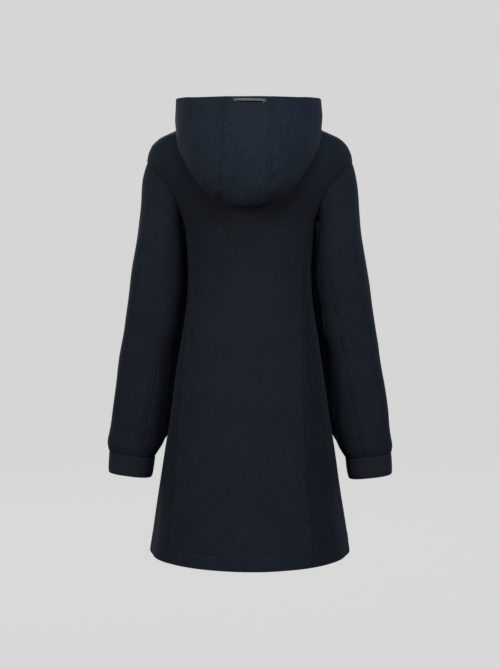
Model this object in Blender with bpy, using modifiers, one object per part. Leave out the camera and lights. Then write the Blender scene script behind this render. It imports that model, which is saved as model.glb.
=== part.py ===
"""A knee-length fleece coat with a hood, cut in panels and closed with a zip.

The coat is filled out as if worn: hollow, upright, arms at its sides, hood down.
Metres, +Z up. The front faces -Y, the wearer's left is +X, and the origin is the
middle of the neck seam. Every cloth piece is a sheet laid on one of three surfaces:
the torso (angle round it, height), the sleeve (angle, station) and the hood
(angle, station). Its edges run along the seams, half a seam gap short of them.
"""

import math

import bmesh
import bpy
import numpy as np
from mathutils import Matrix

# Cloth and seams
WALL = 0.0025
SEAM_GAP = 0.0003
TURN_GAP = 0.0006  # where one surface starts on another: armhole, neck and cuff
SEAM_STEP = 0.005  # how far along a seam its direction is taken

# Torso: heights of the hem and of the armhole, and the armhole's reach round the body
HEM = -0.852
ARMHOLE_TOP = -0.093
ARMHOLE_BOTTOM = -0.200
ARMHOLE_BACK_DEG = 33.0
ARMHOLE_FRONT_DEG = 36.0
ARMHOLE_SHARPNESS = 1.25

# Sleeve: from the armhole (station 0) through a full ring (1) to its hem (2)
SLEEVE_RING = -0.250
SLEEVE_HEM = -0.661
SLEEVE_TILT = 0.12  # rise of a ring for each metre outwards, square to the arm
CUFF_TOP = SLEEVE_HEM - TURN_GAP
CUFF_BOTTOM = -0.7050

# How far the sleeve heads outwards for each metre down as it leaves the armhole, under
# the arm and at the top, and the share of its length in which it turns downwards
SLEEVE_LEAVES = (0.10, 0.80)
SLEEVE_TURNS_IN = 0.6

# How far the hood's cloth rises from the neck seam before it turns over
HOOD_TURN_RISE = 0.010

# Zip: sizes across, through and along where there are three
ZIP_HALF_OPENING = 0.0040
CHAIN_HALF_WIDTH = 0.0034
CHAIN_THICKNESS = 0.0028
TAPE_WIDTH = 0.0145
TAPE_THICKNESS = 0.0010
TAPE_DEPTH = CHAIN_THICKNESS + 0.0004
NECK_SETBACK = 0.0008  # the zip's extra depth where it passes the neck seam
SLIDER_STATION = 0.80
SLIDER_SIZE = (0.0090, 0.0022, 0.0120)
SLIDER_CLEARANCE = 0.0004
BRIDGE_RADIUS = 0.0026
BRIDGE_WIRE = 0.00055
BRIDGE_RAISED = 0.0011
PULL_SIZE = (0.0080, 0.0014, 0.0300)
PULL_SLOT = (0.0036, 0.0036)
PULL_STANDOFF = 0.0014
CROSSBAR_HALF = 0.0007

# Hanging loop on the hood
LOOP_LENGTH = 0.054
LOOP_WIDTH = 0.0065
LOOP_THICKNESS = 0.0015
LOOP_BELOW_RIM = 0.004
LOOP_SLACK = 0.0008
LOOP_MIDDLE_DEG = 91.8

# Rows and columns of squares in each sheet; pieces that share a seam share its rows
SKIRT_ROWS = 12
ARMHOLE_ROWS = 7
SHOULDER_ROWS = 8
BACK_COLUMNS = 16
FRONT_COLUMNS = 9
SIDE_COLUMNS = 9
SLEEVE_ROWS = 19
UPPER_SLEEVE_COLUMNS = 14
UNDER_SLEEVE_COLUMNS = 6
CUFF_COLUMNS = 24
HOOD_ROWS = 28
HOOD_CENTRE_COLUMNS = 6
HOOD_SIDE_COLUMNS = 16
HOOD_ROWS_PER_ZIP_ROW = 4
LOOP_COLUMNS = 8
SOLVER_STEPS = 25


class Table:
    """Rows of named columns, read smoothly between the rows without overshoot."""

    def __init__(self, names, *rows):
        self.rows = np.array(sorted(rows), float)
        self.names = names.split()
        self.keys = self.rows[:, 0]

    def __call__(self, name, at):
        values = self.rows[:, self.names.index(name)]
        keys = self.keys
        steps = np.diff(keys)
        rates = np.diff(values) / steps
        slopes = np.zeros(len(keys))
        for i in range(1, len(keys) - 1):
            if rates[i - 1] * rates[i] > 0:
                slopes[i] = 2 * rates[i - 1] * rates[i] / (rates[i - 1] + rates[i])
        slopes[0], slopes[-1] = rates[0], rates[-1]
        at = min(max(at, keys[0]), keys[-1])
        i = min(int(np.searchsorted(keys, at, side="right")) - 1, len(keys) - 2)
        t = (at - keys[i]) / steps[i]
        return (
            (1 + 2 * t) * (1 - t) ** 2 * values[i]
            + t * (1 - t) ** 2 * steps[i] * slopes[i]
            + t * t * (3 - 2 * t) * values[i + 1]
            - t * t * (1 - t) * steps[i] * slopes[i + 1]
        )


TORSO = Table(
    "height half_width back front front_drop squareness",
    (0.000, 0.0740, 0.046, 0.064, 0.042, 2.00),
    (-0.012, 0.0980, 0.054, 0.068, 0.037, 2.05),
    (-0.029, 0.1395, 0.062, 0.074, 0.029, 2.15),
    (-0.048, 0.1760, 0.070, 0.082, 0.020, 2.20),
    (-0.064, 0.1890, 0.077, 0.088, 0.014, 2.25),
    (-0.080, 0.1934, 0.083, 0.093, 0.008, 2.25),
    (-0.093, 0.1940, 0.088, 0.098, 0.005, 2.25),
    (-0.118, 0.1870, 0.095, 0.105, 0.002, 2.25),
    (-0.147, 0.1700, 0.102, 0.112, 0.000, 2.25),
    (-0.176, 0.1490, 0.106, 0.117, 0.000, 2.25),
    (-0.200, 0.1330, 0.108, 0.120, 0.000, 2.25),
    (-0.222, 0.1250, 0.108, 0.120, 0.000, 2.25),
    (-0.260, 0.1210, 0.106, 0.117, 0.000, 2.25),
    (-0.300, 0.1195, 0.104, 0.112, 0.000, 2.25),
    (-0.353, 0.1215, 0.105, 0.109, 0.000, 2.25),
    (-0.420, 0.1310, 0.111, 0.110, 0.000, 2.25),
    (-0.500, 0.1435, 0.121, 0.117, 0.000, 2.25),
    (-0.580, 0.1560, 0.131, 0.127, 0.000, 2.20),
    (-0.660, 0.1680, 0.142, 0.138, 0.000, 2.15),
    (-0.740, 0.1800, 0.154, 0.149, 0.000, 2.10),
    (HEM, 0.1975, 0.172, 0.163, 0.000, 2.05),
)

# The long seams between back, side and front panels, as angles from the side (degrees).
# The coat hangs a little turned, so the two at the back differ.
BODY_SEAMS = Table(
    "height back_left back_right front",
    (-0.165, 19.0, 27.0, -31.0),
    (-0.250, 19.5, 29.5, -31.0),
    (-0.330, 20.5, 34.0, -32.5),
    (-0.425, 24.5, 41.0, -36.0),
    (-0.520, 30.0, 47.0, -38.8),
    (-0.610, 34.5, 49.5, -40.6),
    (-0.690, 36.5, 50.5, -42.4),
    (-0.770, 38.5, 51.0, -43.2),
    (HEM, 42.0, 51.5, -44.0),
)

# Soft folds that hang from the waist: angle round the body (degrees) at the top and at
# the hem, the height where each starts, its half-width (degrees) and its depth
TORSO_FOLDS = (
    {"top": 66, "hem": 72, "start": -0.56, "half_width": 9.0, "depth": 0.0014},
    {"top": 120, "hem": 125, "start": -0.52, "half_width": 9.0, "depth": 0.0015},
    {"top": 12, "hem": 16, "start": -0.48, "half_width": 8.0, "depth": 0.0030},
    {"top": 168, "hem": 163, "start": -0.54, "half_width": 8.0, "depth": 0.0030},
    {"top": 206, "hem": 203, "start": -0.50, "half_width": 8.0, "depth": 0.0036},
    {"top": 240, "hem": 236, "start": -0.58, "half_width": 7.0, "depth": 0.0028},
    {"top": 300, "hem": 305, "start": -0.53, "half_width": 7.0, "depth": 0.0032},
    {"top": 334, "hem": 338, "start": -0.60, "half_width": 7.0, "depth": 0.0028},
)

SLEEVE = Table(
    "height centre_x centre_y half_width half_depth leaning",
    (SLEEVE_RING, 0.1750, 0.000, 0.0440, 0.0620, 0.0270),
    (-0.300, 0.1806, -0.001, 0.0466, 0.0600, 0.0320),
    (-0.357, 0.1876, -0.003, 0.0486, 0.0560, 0.0360),
    (-0.420, 0.1963, -0.006, 0.0493, 0.0520, 0.0365),
    (-0.460, 0.2046, -0.008, 0.0478, 0.0495, 0.0395),
    (-0.500, 0.2100, -0.010, 0.0486, 0.0475, 0.0385),
    (-0.545, 0.2152, -0.012, 0.0504, 0.0455, 0.0355),
    (-0.580, 0.2190, -0.014, 0.0518, 0.0445, 0.0315),
    (-0.625, 0.2236, -0.016, 0.0536, 0.0430, 0.0200),
    (-0.646, 0.2285, -0.017, 0.0524, 0.0420, 0.0080),
    (SLEEVE_HEM, 0.2332, -0.018, 0.0464, 0.0390, 0.0000),
)

# Where the sleeve leans on the body: the angle round the sleeve and its half-width
LEAN_DEG = 236.0
LEAN_HALF_WIDTH_DEG = 31.0

# The sleeve's two seams, as angles from its outer edge through the back (degrees)
SLEEVE_SEAMS = Table(
    "station back_left back_right front",
    (0.00, 158.0, 150.0, 212.0),
    (1.00, 152.0, 139.0, 198.0),
    (1.12, 145.0, 126.0, 196.0),
    (1.25, 131.0, 113.0, 195.0),
    (1.40, 124.0, 107.5, 195.0),
    (1.55, 120.0, 106.0, 195.0),
    (1.68, 112.0, 102.0, 195.0),
    (1.82, 105.0, 97.0, 195.0),
    (2.00, 104.0, 93.0, 195.0),
)

# Soft breaks across the sleeve: station, angle of the middle, half-widths and depth
SLEEVE_FOLDS = (
    {"station": 0.80, "angle": 150, "along": 0.10, "around": 50, "depth": 0.0026},
    {"station": 1.35, "angle": 190, "along": 0.06, "around": 55, "depth": 0.0032},
    {"station": 1.47, "angle": 215, "along": 0.05, "around": 50, "depth": 0.0026},
    {"station": 1.86, "angle": 200, "along": 0.05, "around": 60, "depth": 0.0024},
)

CUFF = Table(
    "height centre_x centre_y half_width half_depth",
    (CUFF_TOP, 0.2332, -0.0180, 0.0452, 0.0380),
    (-0.674, 0.2344, -0.0190, 0.0448, 0.0376),
    (-0.694, 0.2364, -0.0198, 0.0440, 0.0370),
    (CUFF_BOTTOM, 0.2376, -0.0205, 0.0424, 0.0360),
)

# The hood as a bag: for each angle round the neck (90 is the back), how far the cloth
# slumps from a plain stand (0) into the bag (1), the reach from the neck's middle of
# the inner wall, the lowest fold, the outer wall and the rim, and two heights
HOOD = Table(
    "angle slump inner low_reach outer low rim_reach rim",
    (-90, 0.00, 0.070, 0.072, 0.074, -0.010, 0.0720, 0.012),
    (-80, 0.00, 0.070, 0.072, 0.074, -0.010, 0.0720, 0.012),
    (-66, 0.02, 0.074, 0.078, 0.082, -0.010, 0.0800, 0.012),
    (-45, 0.20, 0.084, 0.092, 0.100, -0.008, 0.0960, 0.008),
    (-20, 0.65, 0.094, 0.107, 0.116, -0.008, 0.1120, 0.006),
    (0, 0.95, 0.102, 0.118, 0.130, -0.011, 0.1270, 0.008),
    (10, 1.00, 0.110, 0.130, 0.139, -0.019, 0.1350, 0.012),
    (22, 1.00, 0.118, 0.142, 0.149, -0.040, 0.1455, 0.019),
    (32, 1.00, 0.122, 0.145, 0.158, -0.077, 0.1550, 0.024),
    (46, 1.00, 0.114, 0.145, 0.168, -0.113, 0.1640, 0.025),
    (57, 1.00, 0.109, 0.145, 0.174, -0.140, 0.1680, 0.025),
    (66, 1.00, 0.105, 0.145, 0.178, -0.158, 0.1700, 0.025),
    (78, 1.00, 0.101, 0.146, 0.181, -0.170, 0.1710, 0.025),
    (90, 1.00, 0.099, 0.147, 0.182, -0.175, 0.1710, 0.025),
)

# How far the edges of the hood's middle panel lie to the wearer's left and right,
# from the neck seam (0) to the rim (1): the hood hangs a little askew
HOOD_PANEL = Table(
    "station left right",
    (0.00, 0.030, 0.030),
    (0.30, 0.040, 0.038),
    (0.55, 0.052, 0.042),
    (0.75, 0.048, 0.045),
    (1.00, 0.037, 0.047),
)

COLOURS = {
    "fleece": ((0.0125, 0.0165, 0.0225), 0.92, 0.0),
    "rib": ((0.0115, 0.0150, 0.0205), 0.90, 0.0),
    "tape": ((0.22, 0.21, 0.22), 0.80, 0.0),
    "zip_tape": ((0.008, 0.010, 0.014), 0.75, 0.0),
    "zip_metal": ((0.30, 0.30, 0.31), 0.35, 1.0),
    "zip_teeth": ((0.010, 0.012, 0.016), 0.45, 0.0),
}


def clear_scene():
    for old in list(bpy.data.objects):
        bpy.data.objects.remove(old, do_unlink=True)


def material(name):
    colour, roughness, metallic = COLOURS[name]
    made = bpy.data.materials.get(name) or bpy.data.materials.new(name)
    made.use_nodes = True
    shader = made.node_tree.nodes["Principled BSDF"]
    shader.inputs["Base Color"].default_value = (*colour, 1.0)
    shader.inputs["Roughness"].default_value = roughness
    shader.inputs["Metallic"].default_value = metallic
    return made


def mix(a, b, t):
    return a + (b - a) * t


def power(value, exponent):
    return math.copysign(abs(value) ** exponent, value)


def bump(distance, half_width):
    return math.exp(-((distance / half_width) ** 2))


def ramp(value, start, end):
    t = min(max((value - start) / (end - start), 0.0), 1.0)
    return t * t * (3 - 2 * t)


# ---- Torso -----------------------------------------------------------------


def torso_fold(angle, height):
    """How far the folds draw the cloth in at this place."""
    total = 0.0
    for fold in TORSO_FOLDS:
        fall = ramp(height, fold["start"], HEM)
        middle = mix(fold["top"], fold["hem"], fall)
        away = (angle - middle + 180) % 360 - 180
        total += fold["depth"] * fall * bump(away, fold["half_width"])
    return total


def normal_of(surface, around, along, step_around, step_along, low, high):
    """The outward normal of surface(around, along), with along kept between low and high."""
    right = surface(around + step_around, along) - surface(around - step_around, along)
    above, below = min(along + step_along, high), max(along - step_along, low)
    normal = np.cross(right, surface(around, above) - surface(around, below))
    return normal / np.linalg.norm(normal)


def torso_point(angle, height, lift=0.0):
    """A point of the torso: angle in degrees, 0 at the wearer's left, 90 at the back."""
    turn = math.radians(angle)
    shape = 2 / TORSO("squareness", height)
    depth = TORSO("back" if math.sin(turn) > 0 else "front", height)
    x = TORSO("half_width", height) * power(math.cos(turn), shape)
    y = depth * power(math.sin(turn), shape)
    z = height - TORSO("front_drop", height) * max(0.0, -math.sin(turn)) ** 2
    point = np.array([x, y, z])
    outwards = np.array([x / 0.19**2, y / 0.16**2, 0.0])
    point -= torso_fold(angle, height) * outwards / np.linalg.norm(outwards)
    if lift:
        point += lift * torso_normal(angle, height)
    return point


def torso_normal(angle, height):
    return normal_of(torso_point, angle, height, 1.5, 0.004, HEM, 0.0)


def armhole_angle(turn, seam):
    """The armhole's angle round the body; turn runs 0 at its top to 180 at its bottom."""
    reach = -ARMHOLE_FRONT_DEG if seam == "front" else ARMHOLE_BACK_DEG
    sharpness = ARMHOLE_SHARPNESS if turn < 90 else 1.0
    return reach * math.sin(math.radians(turn)) ** sharpness


def armhole_height(turn):
    middle = (ARMHOLE_TOP + ARMHOLE_BOTTOM) / 2
    return middle + (ARMHOLE_TOP - middle) * math.cos(math.radians(turn))


def armhole_turn(height):
    middle = (ARMHOLE_TOP + ARMHOLE_BOTTOM) / 2
    cosine = (height - middle) / (ARMHOLE_TOP - middle)
    return math.degrees(math.acos(min(max(cosine, -1.0), 1.0)))


def armhole_point(turn):
    """A point of the armhole seam; turn runs round by the back, in degrees, 0 at the top."""
    turn = turn % 360
    half_turn = turn if turn <= 180 else 360 - turn
    seam = "back_left" if turn <= 180 else "front"
    return armhole_angle(half_turn, seam), armhole_height(half_turn)


def seam_height(seam):
    """Where this long seam, a column of BODY_SEAMS, runs into the armhole."""
    low, high = ARMHOLE_BOTTOM, (ARMHOLE_TOP + ARMHOLE_BOTTOM) / 2
    for _ in range(SOLVER_STEPS):
        middle = (low + high) / 2
        armhole = abs(armhole_angle(armhole_turn(middle), seam))
        if armhole < abs(BODY_SEAMS(seam, middle)):
            low = middle
        else:
            high = middle
    return high


def panel_edge(seam, height):
    """The outer edge of the back or front panel: long seam, armhole, then shoulder seam."""
    if height >= ARMHOLE_TOP:
        return 0.0
    if height >= seam_height(seam):
        return armhole_angle(armhole_turn(height), seam)
    return BODY_SEAMS(seam, height)


def panel_rows(seam):
    """Heights of a panel's rows, closer together round the armhole and the neck."""
    junction = seam_height(seam)
    skirt = np.linspace(HEM, junction, SKIRT_ROWS + 1)
    turns = np.linspace(armhole_turn(junction), 0, ARMHOLE_ROWS + 1)[1:]
    shoulder = np.linspace(ARMHOLE_TOP, 0.0, SHOULDER_ROWS + 1)[1:]
    return [*skirt, *(armhole_height(turn) for turn in turns), *shoulder]


# ---- Meshes ----------------------------------------------------------------


def sheet(name, place, columns, rows, finish, side=1, thickness=WALL):
    """A cloth sheet: a flat slab of squares laid on place(u, v, lift).

    u and v run from 0 to 1, and lift is 0 outside and minus the thickness inside, so
    that both sides follow the surface's own normal and neighbours stay parallel along
    a seam. side -1 mirrors the sheet to the wearer's right.
    """
    slab = bmesh.new()
    bmesh.ops.create_grid(slab, x_segments=columns, y_segments=rows, size=0.5)
    inner = thickened(slab)
    bmesh.ops.translate(slab, vec=(0, 0, -1), verts=list(inner))
    bmesh.ops.recalc_face_normals(slab, faces=slab.faces[:])
    for vertex in slab.verts:
        u, v = vertex.co.x + 0.5, vertex.co.y + 0.5
        x, y, z = place(u, v, -thickness if vertex in inner else 0.0)
        vertex.co = (side * x, y, z)
    # Both sides of a seam are split along the same diagonals, so they stay parallel
    edges = [face for face in slab.faces if 0 < len(inner.intersection(face.verts)) < 4]
    bmesh.ops.triangulate(slab, faces=edges, quad_method="SHORT_EDGE")
    return as_object(name, slab, finish, side)


def thickened(slab):
    """Gives an open surface a second side, and returns the second side's corners."""
    added = bmesh.ops.extrude_face_region(slab, geom=slab.faces[:])["geom"]
    return {item for item in added if isinstance(item, bmesh.types.BMVert)}


def as_object(name, slab, finish, side):
    if side < 0:
        bmesh.ops.reverse_faces(slab, faces=slab.faces[:])
    mesh = bpy.data.meshes.new(name)
    slab.to_mesh(mesh)
    slab.free()
    return in_coat(bpy.data.objects.new(name, mesh), finish)


def in_coat(made, finish):
    """The object with its material, moved to the coat's collection."""
    for home in list(made.users_collection):
        home.objects.unlink(made)
    coat.objects.link(made)
    made.data.shade_smooth()
    made.data.set_sharp_from_angle(angle=math.radians(40))
    made.data.materials.append(material(finish))
    return made


def gap_share(surface, start, end, along):
    """Half a seam gap, square to the seam, as a share of the way from start to end."""
    around = surface(start + 1, along) - surface(start, along)
    upwards = surface(start, along + SEAM_STEP) - surface(start, along - SEAM_STEP)
    width = np.linalg.norm(np.cross(around, upwards)) / np.linalg.norm(upwards)
    return SEAM_GAP / 2 / width / abs(end - start)


# ---- Body panels -----------------------------------------------------------


def back_panel():
    rows = {seam: panel_rows(seam) for seam in ("back_left", "back_right")}
    count = len(rows["back_left"]) - 1

    def place(u, v, lift):
        row = round(v * count)
        left, right = (panel_edge(seam, rows[seam][row]) for seam in rows)
        height = mix(rows["back_left"][row], rows["back_right"][row], u)
        gap = gap_share(torso_point, left, 180 - right, height)
        angle = mix(left, 180 - right, mix(gap, 1 - gap, u))
        return torso_point(angle, height, lift)

    return sheet("back_panel", place, BACK_COLUMNS, count, "fleece")


def front_angle(across, height):
    """The angle of the point this far to the side of the middle of the front."""
    share = abs(across) / TORSO("half_width", height)
    turn = math.degrees(math.asin(share ** (TORSO("squareness", height) / 2)))
    return -90 + math.copysign(turn, across)


def front_panel(name, side):
    rows = panel_rows("front")

    def place(u, v, lift):
        height = rows[round(v * (len(rows) - 1))]
        edge = panel_edge("front", height)
        opening = front_angle(ZIP_HALF_OPENING, height)
        gap = gap_share(torso_point, edge, opening, height)
        nearer_zip = mix(u, u * u, 0.35)
        return torso_point(mix(opening, edge, nearer_zip * (1 - gap)), height, lift)

    return sheet(name, place, FRONT_COLUMNS, len(rows) - 1, "fleece", side)


def side_panel(name, side):
    back_seam = "back_left" if side > 0 else "back_right"
    turn_front = 360 - armhole_turn(seam_height("front"))
    turn_back = armhole_turn(seam_height(back_seam))

    def place(u, v, lift):
        top_angle, top = armhole_point(mix(turn_front, turn_back, u))
        height = mix(HEM, top - SEAM_GAP * 4 * u * (1 - u), v)
        front, back = BODY_SEAMS("front", height), BODY_SEAMS(back_seam, height)
        at_top = (top_angle - BODY_SEAMS("front", top)) / (
            BODY_SEAMS(back_seam, top) - BODY_SEAMS("front", top)
        )
        share = mix(u, min(max(at_top, 0.0), 1.0), ramp(v, 0.3, 0.9))
        gap = gap_share(torso_point, front, back, height)
        return torso_point(mix(front, back, mix(gap, 1 - gap, share)), height, lift)

    return sheet(name, place, SIDE_COLUMNS, SKIRT_ROWS, "fleece", side)


# ---- Sleeves ---------------------------------------------------------------


def ring_point(table, angle, height, tilt=SLEEVE_TILT):
    turn = math.radians(angle)
    out = table("half_width", height) * math.cos(turn)
    x = table("centre_x", height) + out
    y = table("centre_y", height) + table("half_depth", height) * math.sin(turn)
    return np.array([x, y, height + tilt * out])


def cubic(start, leave, end, arrive, t):
    """The point at t on a curve with these ends and end directions."""
    return (
        (1 + 2 * t) * (1 - t) ** 2 * start
        + t * (1 - t) ** 2 * leave
        + t * t * (3 - 2 * t) * end
        - t * t * (1 - t) * arrive
    )


def sleeve_head(angle, station):
    """The sleeve between its armhole seam (0) and its first full ring (1)."""
    seam_angle, seam_at = armhole_point(angle)
    top_share = 0.5 + 0.5 * math.cos(math.radians(angle))
    heading = np.array([mix(*SLEEVE_LEAVES, top_share), 0.0, -1.0])
    heading /= np.linalg.norm(heading)
    start = torso_point(seam_angle, seam_at)
    start += TURN_GAP * (heading + torso_normal(seam_angle, seam_at))
    end = ring_point(SLEEVE, angle, SLEEVE_RING)
    below = ring_point(SLEEVE, angle, SLEEVE_RING - 0.01)
    length = np.linalg.norm(end - start)
    arrive = (below - end) / np.linalg.norm(below - end) * length
    return cubic(start, heading * length * SLEEVE_TURNS_IN, end, arrive, station)


def sleeve_point(angle, station, lift=0.0):
    """A point of the left sleeve: angle 0 on its outer edge, 90 at the back."""
    if station >= 1:
        height = mix(SLEEVE_RING, SLEEVE_HEM, station - 1)
        point = ring_point(SLEEVE, angle, height)
    else:
        height = SLEEVE_RING
        point = sleeve_head(angle, station)
    leaning = SLEEVE("leaning", height) * ramp(station, 0.15, 1.0)
    point[0] -= leaning * bump(angle % 360 - LEAN_DEG, LEAN_HALF_WIDTH_DEG)
    inwards = np.array([SLEEVE("centre_x", height), SLEEVE("centre_y", height), 0]) - point
    inwards[2] = 0.0
    point = point + sleeve_fold(angle, station) * inwards / np.linalg.norm(inwards)
    if lift:
        point += lift * -normal_of(sleeve_point, angle, station, 2.0, 0.02, 0.0, 2.0)
    return point


def sleeve_fold(angle, station):
    total = 0.0
    for fold in SLEEVE_FOLDS:
        away = (angle - fold["angle"] + 180) % 360 - 180
        across = bump(station - fold["station"], fold["along"])
        total += fold["depth"] * across * bump(away, fold["around"])
    return total


def sleeve_piece(name, side, from_seam, to_seam, columns):
    """A sleeve piece between two of its seams, named as columns of SLEEVE_SEAMS."""

    def place(u, v, lift):
        station = mix(2.0, 0.0, v)
        end = SLEEVE_SEAMS(to_seam, station)
        start = SLEEVE_SEAMS(from_seam, station)
        if start > end:
            start -= 360
        gap = gap_share(sleeve_point, start, end, station)
        return sleeve_point(mix(start, end, mix(gap, 1 - gap, u)), station, lift)

    return sheet(name, place, columns, SLEEVE_ROWS, "fleece", side)


def cuff_point(angle, height, lift=0.0):
    point = ring_point(CUFF, angle, height)
    if lift:
        point += lift * normal_of(cuff_point, angle, height, 2.0, 0.004, CUFF_BOTTOM, CUFF_TOP)
    return point


def cuff(name, side):
    """A cuff: a tube wall round the sleeve's end, given its thickness inwards."""
    tube = bmesh.new()
    bmesh.ops.create_cone(tube, segments=CUFF_COLUMNS, radius1=1, radius2=1, depth=1)
    inner = thickened(tube)
    for vertex in inner:
        vertex.co.xy *= 0.5
    bmesh.ops.recalc_face_normals(tube, faces=tube.faces[:])
    for vertex in tube.verts:
        angle = math.degrees(math.atan2(vertex.co.y, vertex.co.x))
        height = mix(CUFF_BOTTOM, CUFF_TOP, vertex.co.z + 0.5)
        x, y, z = cuff_point(angle, height, -WALL if vertex in inner else 0.0)
        vertex.co = (side * x, y, z)
    return as_object(name, tube, "rib", side)


# ---- Hood ------------------------------------------------------------------


def neck_seam(angle):
    """Reach and height of the neck seam at this angle round the neck."""
    turn = math.radians(angle)
    wide = TORSO("half_width", 0.0)
    deep = TORSO("back" if math.sin(turn) > 0 else "front", 0.0)
    reach = 1 / math.hypot(math.cos(turn) / wide, math.sin(turn) / deep)
    own = math.sin(math.atan2(wide * math.sin(turn), deep * math.cos(turn)))
    return reach, TURN_GAP - TORSO("front_drop", 0.0) * max(0.0, -own) ** 2


def hood_section(angle):
    """The hood cut upright at this angle: reach and height of eight points."""
    neck, base = neck_seam(angle)
    names = ("inner", "low_reach", "outer", "low", "rim_reach", "rim")
    inner, low_reach, outer, low, rim_reach, rim = (HOOD(name, angle) for name in names)
    bag = (
        (neck, base),
        (mix(neck, inner, 0.40), base + HOOD_TURN_RISE),
        (inner, mix(base, low, 0.40)),
        (mix(inner, low_reach, 0.30), mix(base, low, 0.74)),
        (low_reach, low),
        (mix(low_reach, outer, 0.75), mix(low, rim, 0.13)),
        (outer, mix(low, rim, 0.50)),
        (rim_reach, rim),
    )
    shares = np.linspace(0, 1, len(bag))[:, None]
    stand = mix(np.array([neck, base]), np.array([rim_reach, rim]), shares)
    return mix(stand, np.array(bag), HOOD("slump", angle))


def hood_point(angle, station, lift=0.0):
    """A point of the hood: station 0 at the neck seam, 1 at the rim."""
    folded = 180 - angle if angle > 90 else angle
    section = hood_section(max(folded, -180 - folded))
    at = min(max(station, 0.0), 1.0) * (len(section) - 1)
    i = min(int(at), len(section) - 2)
    start, end = section[i], section[i + 1]
    leave = (end - section[max(i - 1, 0)]) / 2
    arrive = (section[min(i + 2, len(section) - 1)] - start) / 2
    reach, height = cubic(start, leave, end, arrive, at - i)
    turn = math.radians(angle)
    point = np.array([reach * math.cos(turn), reach * math.sin(turn), height])
    if lift:
        point += lift * normal_of(hood_point, angle, station, 1.0, 0.01, 0.0, 1.0)
    return point


def hood_seam(side, station):
    """The angle of the seam between the hood's middle panel and this side's panel."""
    half_width = HOOD_PANEL("left" if side > 0 else "right", station)
    angle = 70.0
    for _ in range(SOLVER_STEPS):
        reach = math.hypot(*hood_point(angle, station)[:2])
        angle = math.degrees(math.acos(min(half_width / reach, 1.0)))
    return angle


def hood_centre():
    def place(u, v, lift):
        left, right = hood_seam(1, v), 180 - hood_seam(-1, v)
        gap = gap_share(hood_point, left, right, v)
        return hood_point(mix(left, right, mix(gap, 1 - gap, u)), v, lift)

    return sheet("hood_centre", place, HOOD_CENTRE_COLUMNS, HOOD_ROWS, "fleece")


def hood_side(name, side):
    """A side panel, from the front edge by the zip round to the middle panel."""

    def place(u, v, lift):
        reach = np.linalg.norm(hood_point(-90, v)[:2])
        opening = -90 + math.degrees(ZIP_HALF_OPENING / reach)
        seam = hood_seam(side, v)
        gap = gap_share(hood_point, seam, opening, v)
        return hood_point(mix(opening, seam, u * (1 - gap)), v, lift)

    return sheet(name, place, HOOD_SIDE_COLUMNS, HOOD_ROWS, "fleece", side)


def hanging_loop():
    """A short flat tape sewn on the hood's outer face, just under the rim."""
    near_rim = 0.97
    step = hood_point(90, 1.0) - hood_point(90, near_rim)
    station_per_metre = (1.0 - near_rim) / np.linalg.norm(step)
    half_turn = math.degrees(LOOP_LENGTH / 2 / HOOD("rim_reach", 90))

    def place(u, v, lift):
        below = LOOP_BELOW_RIM + LOOP_WIDTH * (1 - v)
        station = 1.0 - below * station_per_metre
        raised = LOOP_THICKNESS + SEAM_GAP + LOOP_SLACK * 4 * u * (1 - u)
        angle = LOOP_MIDDLE_DEG + mix(-half_turn, half_turn, u)
        return hood_point(angle, station, raised + lift)

    return sheet("hanging_loop", place, LOOP_COLUMNS, 1, "tape", 1, LOOP_THICKNESS)


# ---- Zip -------------------------------------------------------------------


def zip_sheet(name, from_across, to_across, columns, top_lift, thickness, finish, side=1):
    """A strip beside the middle of the front, up the coat and the hood's front edge."""
    heights = panel_rows("front")
    stations = np.linspace(0, 1, HOOD_ROWS + 1)[HOOD_ROWS_PER_ZIP_ROW::HOOD_ROWS_PER_ZIP_ROW]
    count = len(heights) + len(stations) - 1

    def place(u, v, lift):
        row = round(v * count)
        across = mix(from_across, to_across, u)
        depth = top_lift + lift
        if row == len(heights) - 1:
            depth -= NECK_SETBACK
        if row < len(heights):
            return torso_point(front_angle(across, heights[row]), heights[row], depth)
        turn = math.degrees(across / HOOD("rim_reach", -90))
        return hood_point(-90 + turn, stations[row - len(heights)], depth)

    return sheet(name, place, columns, count, finish, side, thickness)


def bevelled_box(name, size, bevel):
    """A box with rounded edges, its scale applied."""
    bpy.ops.mesh.primitive_cube_add(size=1)
    box = bpy.context.object
    box.name = box.data.name = name
    box.data.transform(Matrix.Diagonal((*size, 1)))
    edge = box.modifiers.new("Edges", "BEVEL")
    edge.width = bevel
    edge.segments = 2
    return box


def zip_slider():
    """The slider's front plate with its bridge, set square to the hood's front edge."""
    seat = hood_point(-90, SLIDER_STATION)
    out = normal_of(hood_point, -90, SLIDER_STATION, 1.0, 0.01, 0.0, 1.0)
    lean = math.atan2(-out[2], -out[1])
    plate = bevelled_box("zip_slider", SLIDER_SIZE, 0.0007)
    middle = seat + out * (SLIDER_CLEARANCE + SLIDER_SIZE[1] / 2)
    plate.location = middle
    plate.rotation_euler = (lean, 0, 0)
    in_coat(plate, "zip_metal")
    face = seat + out * (SLIDER_CLEARANCE + SLIDER_SIZE[1])
    bpy.ops.mesh.primitive_torus_add(
        major_radius=BRIDGE_RADIUS,
        minor_radius=BRIDGE_WIRE,
        major_segments=20,
        minor_segments=8,
        location=face + out * BRIDGE_RAISED,
        rotation=(0, math.radians(90), 0),
    )
    bridge = bpy.context.object
    bridge.name = "slider_bridge"
    as_cutter(bridge)
    join = plate.modifiers.new("Bridge", "BOOLEAN")
    join.operation = "UNION"
    join.solver = "EXACT"
    join.object = bridge
    return face


def as_cutter(helper):
    for home in list(helper.users_collection):
        home.objects.unlink(helper)
    cutters.objects.link(helper)
    helper.hide_render = True
    helper.display_type = "WIRE"


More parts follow.
